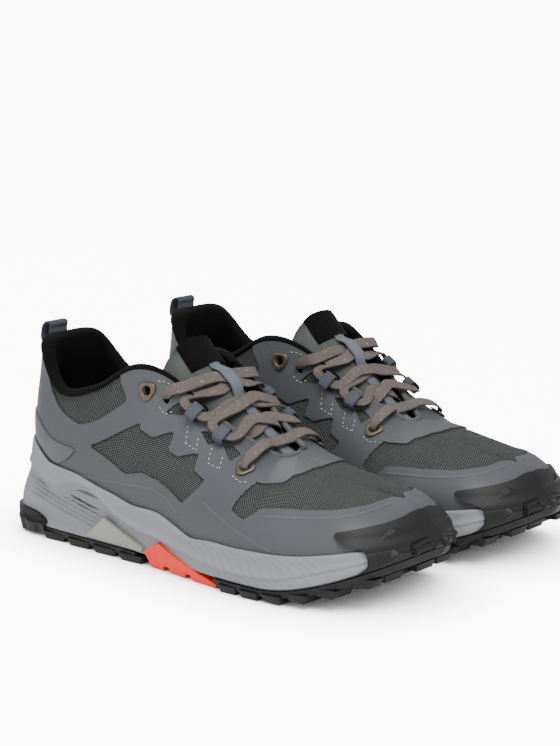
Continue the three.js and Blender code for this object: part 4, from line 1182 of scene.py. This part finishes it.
bumperFacets = {
    "outer": [(18.42, 1.55), (18.8, 2.4), (19.25, 1.8)], "low": [(18.4, 0.5), (18.72, 1.1), (19.15, 0.75)],
    "inner": [(21.58, 1.55), (21.2, 2.4), (20.75, 1.8)], "lowInner": [(21.6, 0.5), (21.28, 1.1), (20.85, 0.75)],
}
bumperLugs = [[(19.12, 0.35), (19.2, 1.05), (19.72, 1.3), (19.85, 0.45)],
              [(20.88, 0.35), (20.8, 1.05), (20.28, 1.3), (20.15, 0.45)]]


def onToe(u, s, drop):
    lift = drop
    if not drop:
        for facet in bumperFacets.values():
            lift += 1.3 * smooth(nearEdge(u, s, facet), 0.0, 2.4)
        for block in bumperLugs:
            away = nearEdge(u, s, block)
            lift += 1.7 * smooth(away, 0.0, 0.6) - 0.9 * smooth(away, 1.5, 2.0)
            lift -= 0.7 * smooth(away, -1.4, -0.3) * (away < 0)
    way = u if u <= 20 else u - 40
    k = station(way)
    if s < 1:
        return onSole(k, s * 0.715, 2.0 + lift)
    return onPattern(way, s, mix(lipOut + 2.0, filmTop + 1.9, smooth(s, 1, 1.9)) + lift)


def makeFootbed():
    levels = ((1, 0.3), (1, 3.1), (0.985, 3.9), (0.95, 4.2), (0.8, 4.2), (0.55, 4.0), (0.25, 3.9), (0, 3.9))

    def place(a, b):
        s = (2 * a - 1) * halfWay
        share, rise = levels[round(b * 7)]
        middle = (bare(s, 0) + bare(-s, 0)) / 2
        return middle.lerp(bare(s, 0) - outward(s) * 3.6, share) + Vector((0, 0, rise))

    finishPiece(closeEnds(mapped(240, 7, place, (640, 45))), "footbed", "footbed", ["insole"])


def makeBumper():
    half = [(17.09, 2.15), (17.34, 1.55), (17.86, 1.35), (18.03, 1.0), (18.03, 0.72), (17.77, 0.42),
            (17.3, -0.05)]
    top = [(20, 3.72), (19.5, 3.42), (19.14, 2.98), (18.54, 2.6), (17.7, 2.33)]
    outline = top + half
    whole = outline + [(40 - u, s) for u, s in reversed(outline[1:])]
    bm = cutSheet((17, 23), (0.0, 3.8), (230, 120), onToe, [rounded(whole, 1)], [], (scaleU, scaleV), 2.2)
    finishPiece(bm, "toeBumper", "rubber", [], sharp=35)


padShape = [(-2.75, 1.0), (-2.75, 7.5), (-2.45, 11.2), (-1.9, 13.6), (-1.3, 14.6), (0, 14.4),
            (1.3, 14.6), (1.9, 13.6), (2.45, 11.2), (2.75, 7.5), (2.75, 1.0)]


def onHeelPad(k, h, drop):
    base, out = soleLine.at(k / stepsAround), outward(k)
    floor = ground(base.y)
    z = h * heightPart
    low, high = 0.0, 0.7
    for _ in range(18):
        mid = (low + high) / 2
        low, high = (mid, high) if onSole(k, mid).z < z else (low, mid)
    spot = sculpt(k, low)
    inset = 2.6 * (1 - smooth(z, 0.5, floor + treadTop + 2))
    if z < floor + treadTop + 2:
        spot = base + out * (-0.6 - inset * 0.7)
    rib = (0.5 + 0.5 * math.cos(2 * math.pi * k / 0.62)) ** 3 * (1 - smooth(h, 8.5, 11.5))
    lift = 2.2 - 1.2 * rib if drop == 0 else -0.8
    return Vector((*(spot + out * lift).xy, max(z, 0.25)))


def makeHeelPad():
    bm = cutSheet((-2.8, 2.8), (0.3, 14.8), (200, 70), onHeelPad, [rounded(padShape, 2)], [],
                  (27.0, heightPart), 3.0)
    finishPiece(bm, "heelPad", "rubber", [], sharp=45)


for make in (makeTreads, makeBumper, makeHeelPad, makeShell, makeInnerLining, makeFilm, makeLines, makeHeelPatch,
             makeCollar, makeBinding, makePiping, makeTongue, makeLabel, makeKeeper, makeLace, makeLoops,
             makeEyelets, makeStitches, makePullLoop, makeMidsole, makeFootbed):
    make()

nodeLooks = {"shank": "shank", "midfoot": "orange"}
for name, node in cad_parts.items():
    for key, look in nodeLooks.items():
        if key in name:
            thing = bpy.data.objects.get(node if isinstance(node, str) else name)
            if thing:
                for slot in thing.material_slots:
                    slot.material = looks[look]

view = {"place": (-1.0416, -0.8461, 0.3695), "lens": 106.4, "sensor": 36.0}
right, up = Vector((0.6342, -0.7732, 0.0003)), Vector((0.1494, 0.1230, 0.9811))
back = Vector((-0.7586, -0.6222, 0.1935))
cameraData = bpy.data.cameras.new("camera")
cameraData.lens = view["lens"]
cameraData.sensor_width = view["sensor"]
camera = bpy.data.objects.new("camera", cameraData)
camera.matrix_world = Matrix.Translation(view["place"]) @ Matrix((right, up, back)).transposed().to_4x4()
bpy.context.scene.collection.objects.link(camera)
bpy.context.scene.camera = camera

floorLook = Look("paleFloor", 0.9)
floorLook.set("Base Color", (0.95, 0.95, 0.95, 1))
# Ambient occlusion, squared, darkens the floor's camera-seen white glow close to the shoes: a painted contact
# shadow under them.
paintedContactShadow = floorLook.node("ShaderNodeAmbientOcclusion", {"samples": 8}, {"Distance": 0.045})
seenFloor = floorLook.node("ShaderNodeLightPath")
floorLook.set("Emission Color", floorLook.blend(seenFloor * paintedContactShadow * paintedContactShadow, (0, 0, 0), (1, 1, 1)))
floorLook.set("Emission Strength", 9.0)
bm = bmesh.new()
bmesh.ops.create_grid(bm, x_segments=1, y_segments=1, size=30)
floorMesh = bpy.data.meshes.new("floor")
bm.to_mesh(floorMesh)
bm.free()
floor = bpy.data.objects.new("floor", floorMesh)
floor.location.z = -0.0002
floorMesh.materials.append(floorLook.material)
bpy.context.scene.collection.objects.link(floor)

world = bpy.data.worlds.new("studio")
world.use_nodes = True
world.node_tree.nodes["Background"].inputs[0].default_value = (1, 1, 1, 1)
seen = world.node_tree.nodes.new("ShaderNodeLightPath")
strength = world.node_tree.nodes.new("ShaderNodeMapRange")
strength.inputs["To Min"].default_value = 0.6
strength.inputs["To Max"].default_value = 11.0
world.node_tree.links.new(seen.outputs["Is Camera Ray"], strength.inputs["Value"])
world.node_tree.links.new(strength.outputs[0], world.node_tree.nodes["Background"].inputs[1])
bpy.context.scene.world = world
lights = {"key": ((-0.7, -0.9, 1.7), 1.1, 44.0), "fill": ((-1.4, 0.2, 0.7), 1.2, 7.0),
          "rear": ((0.5, 1.2, 1.2), 1.4, 16.0)}
for name, (place, size, power) in lights.items():
    data = bpy.data.lights.new(name, "AREA")
    data.size = size
    data.energy = power
    light = bpy.data.objects.new(name, data)
    light.location = place
    light.rotation_euler = (Vector((0, 0, 0.05)) - Vector(place)).to_track_quat("-Z", "Y").to_euler()
    bpy.context.scene.collection.objects.link(light)
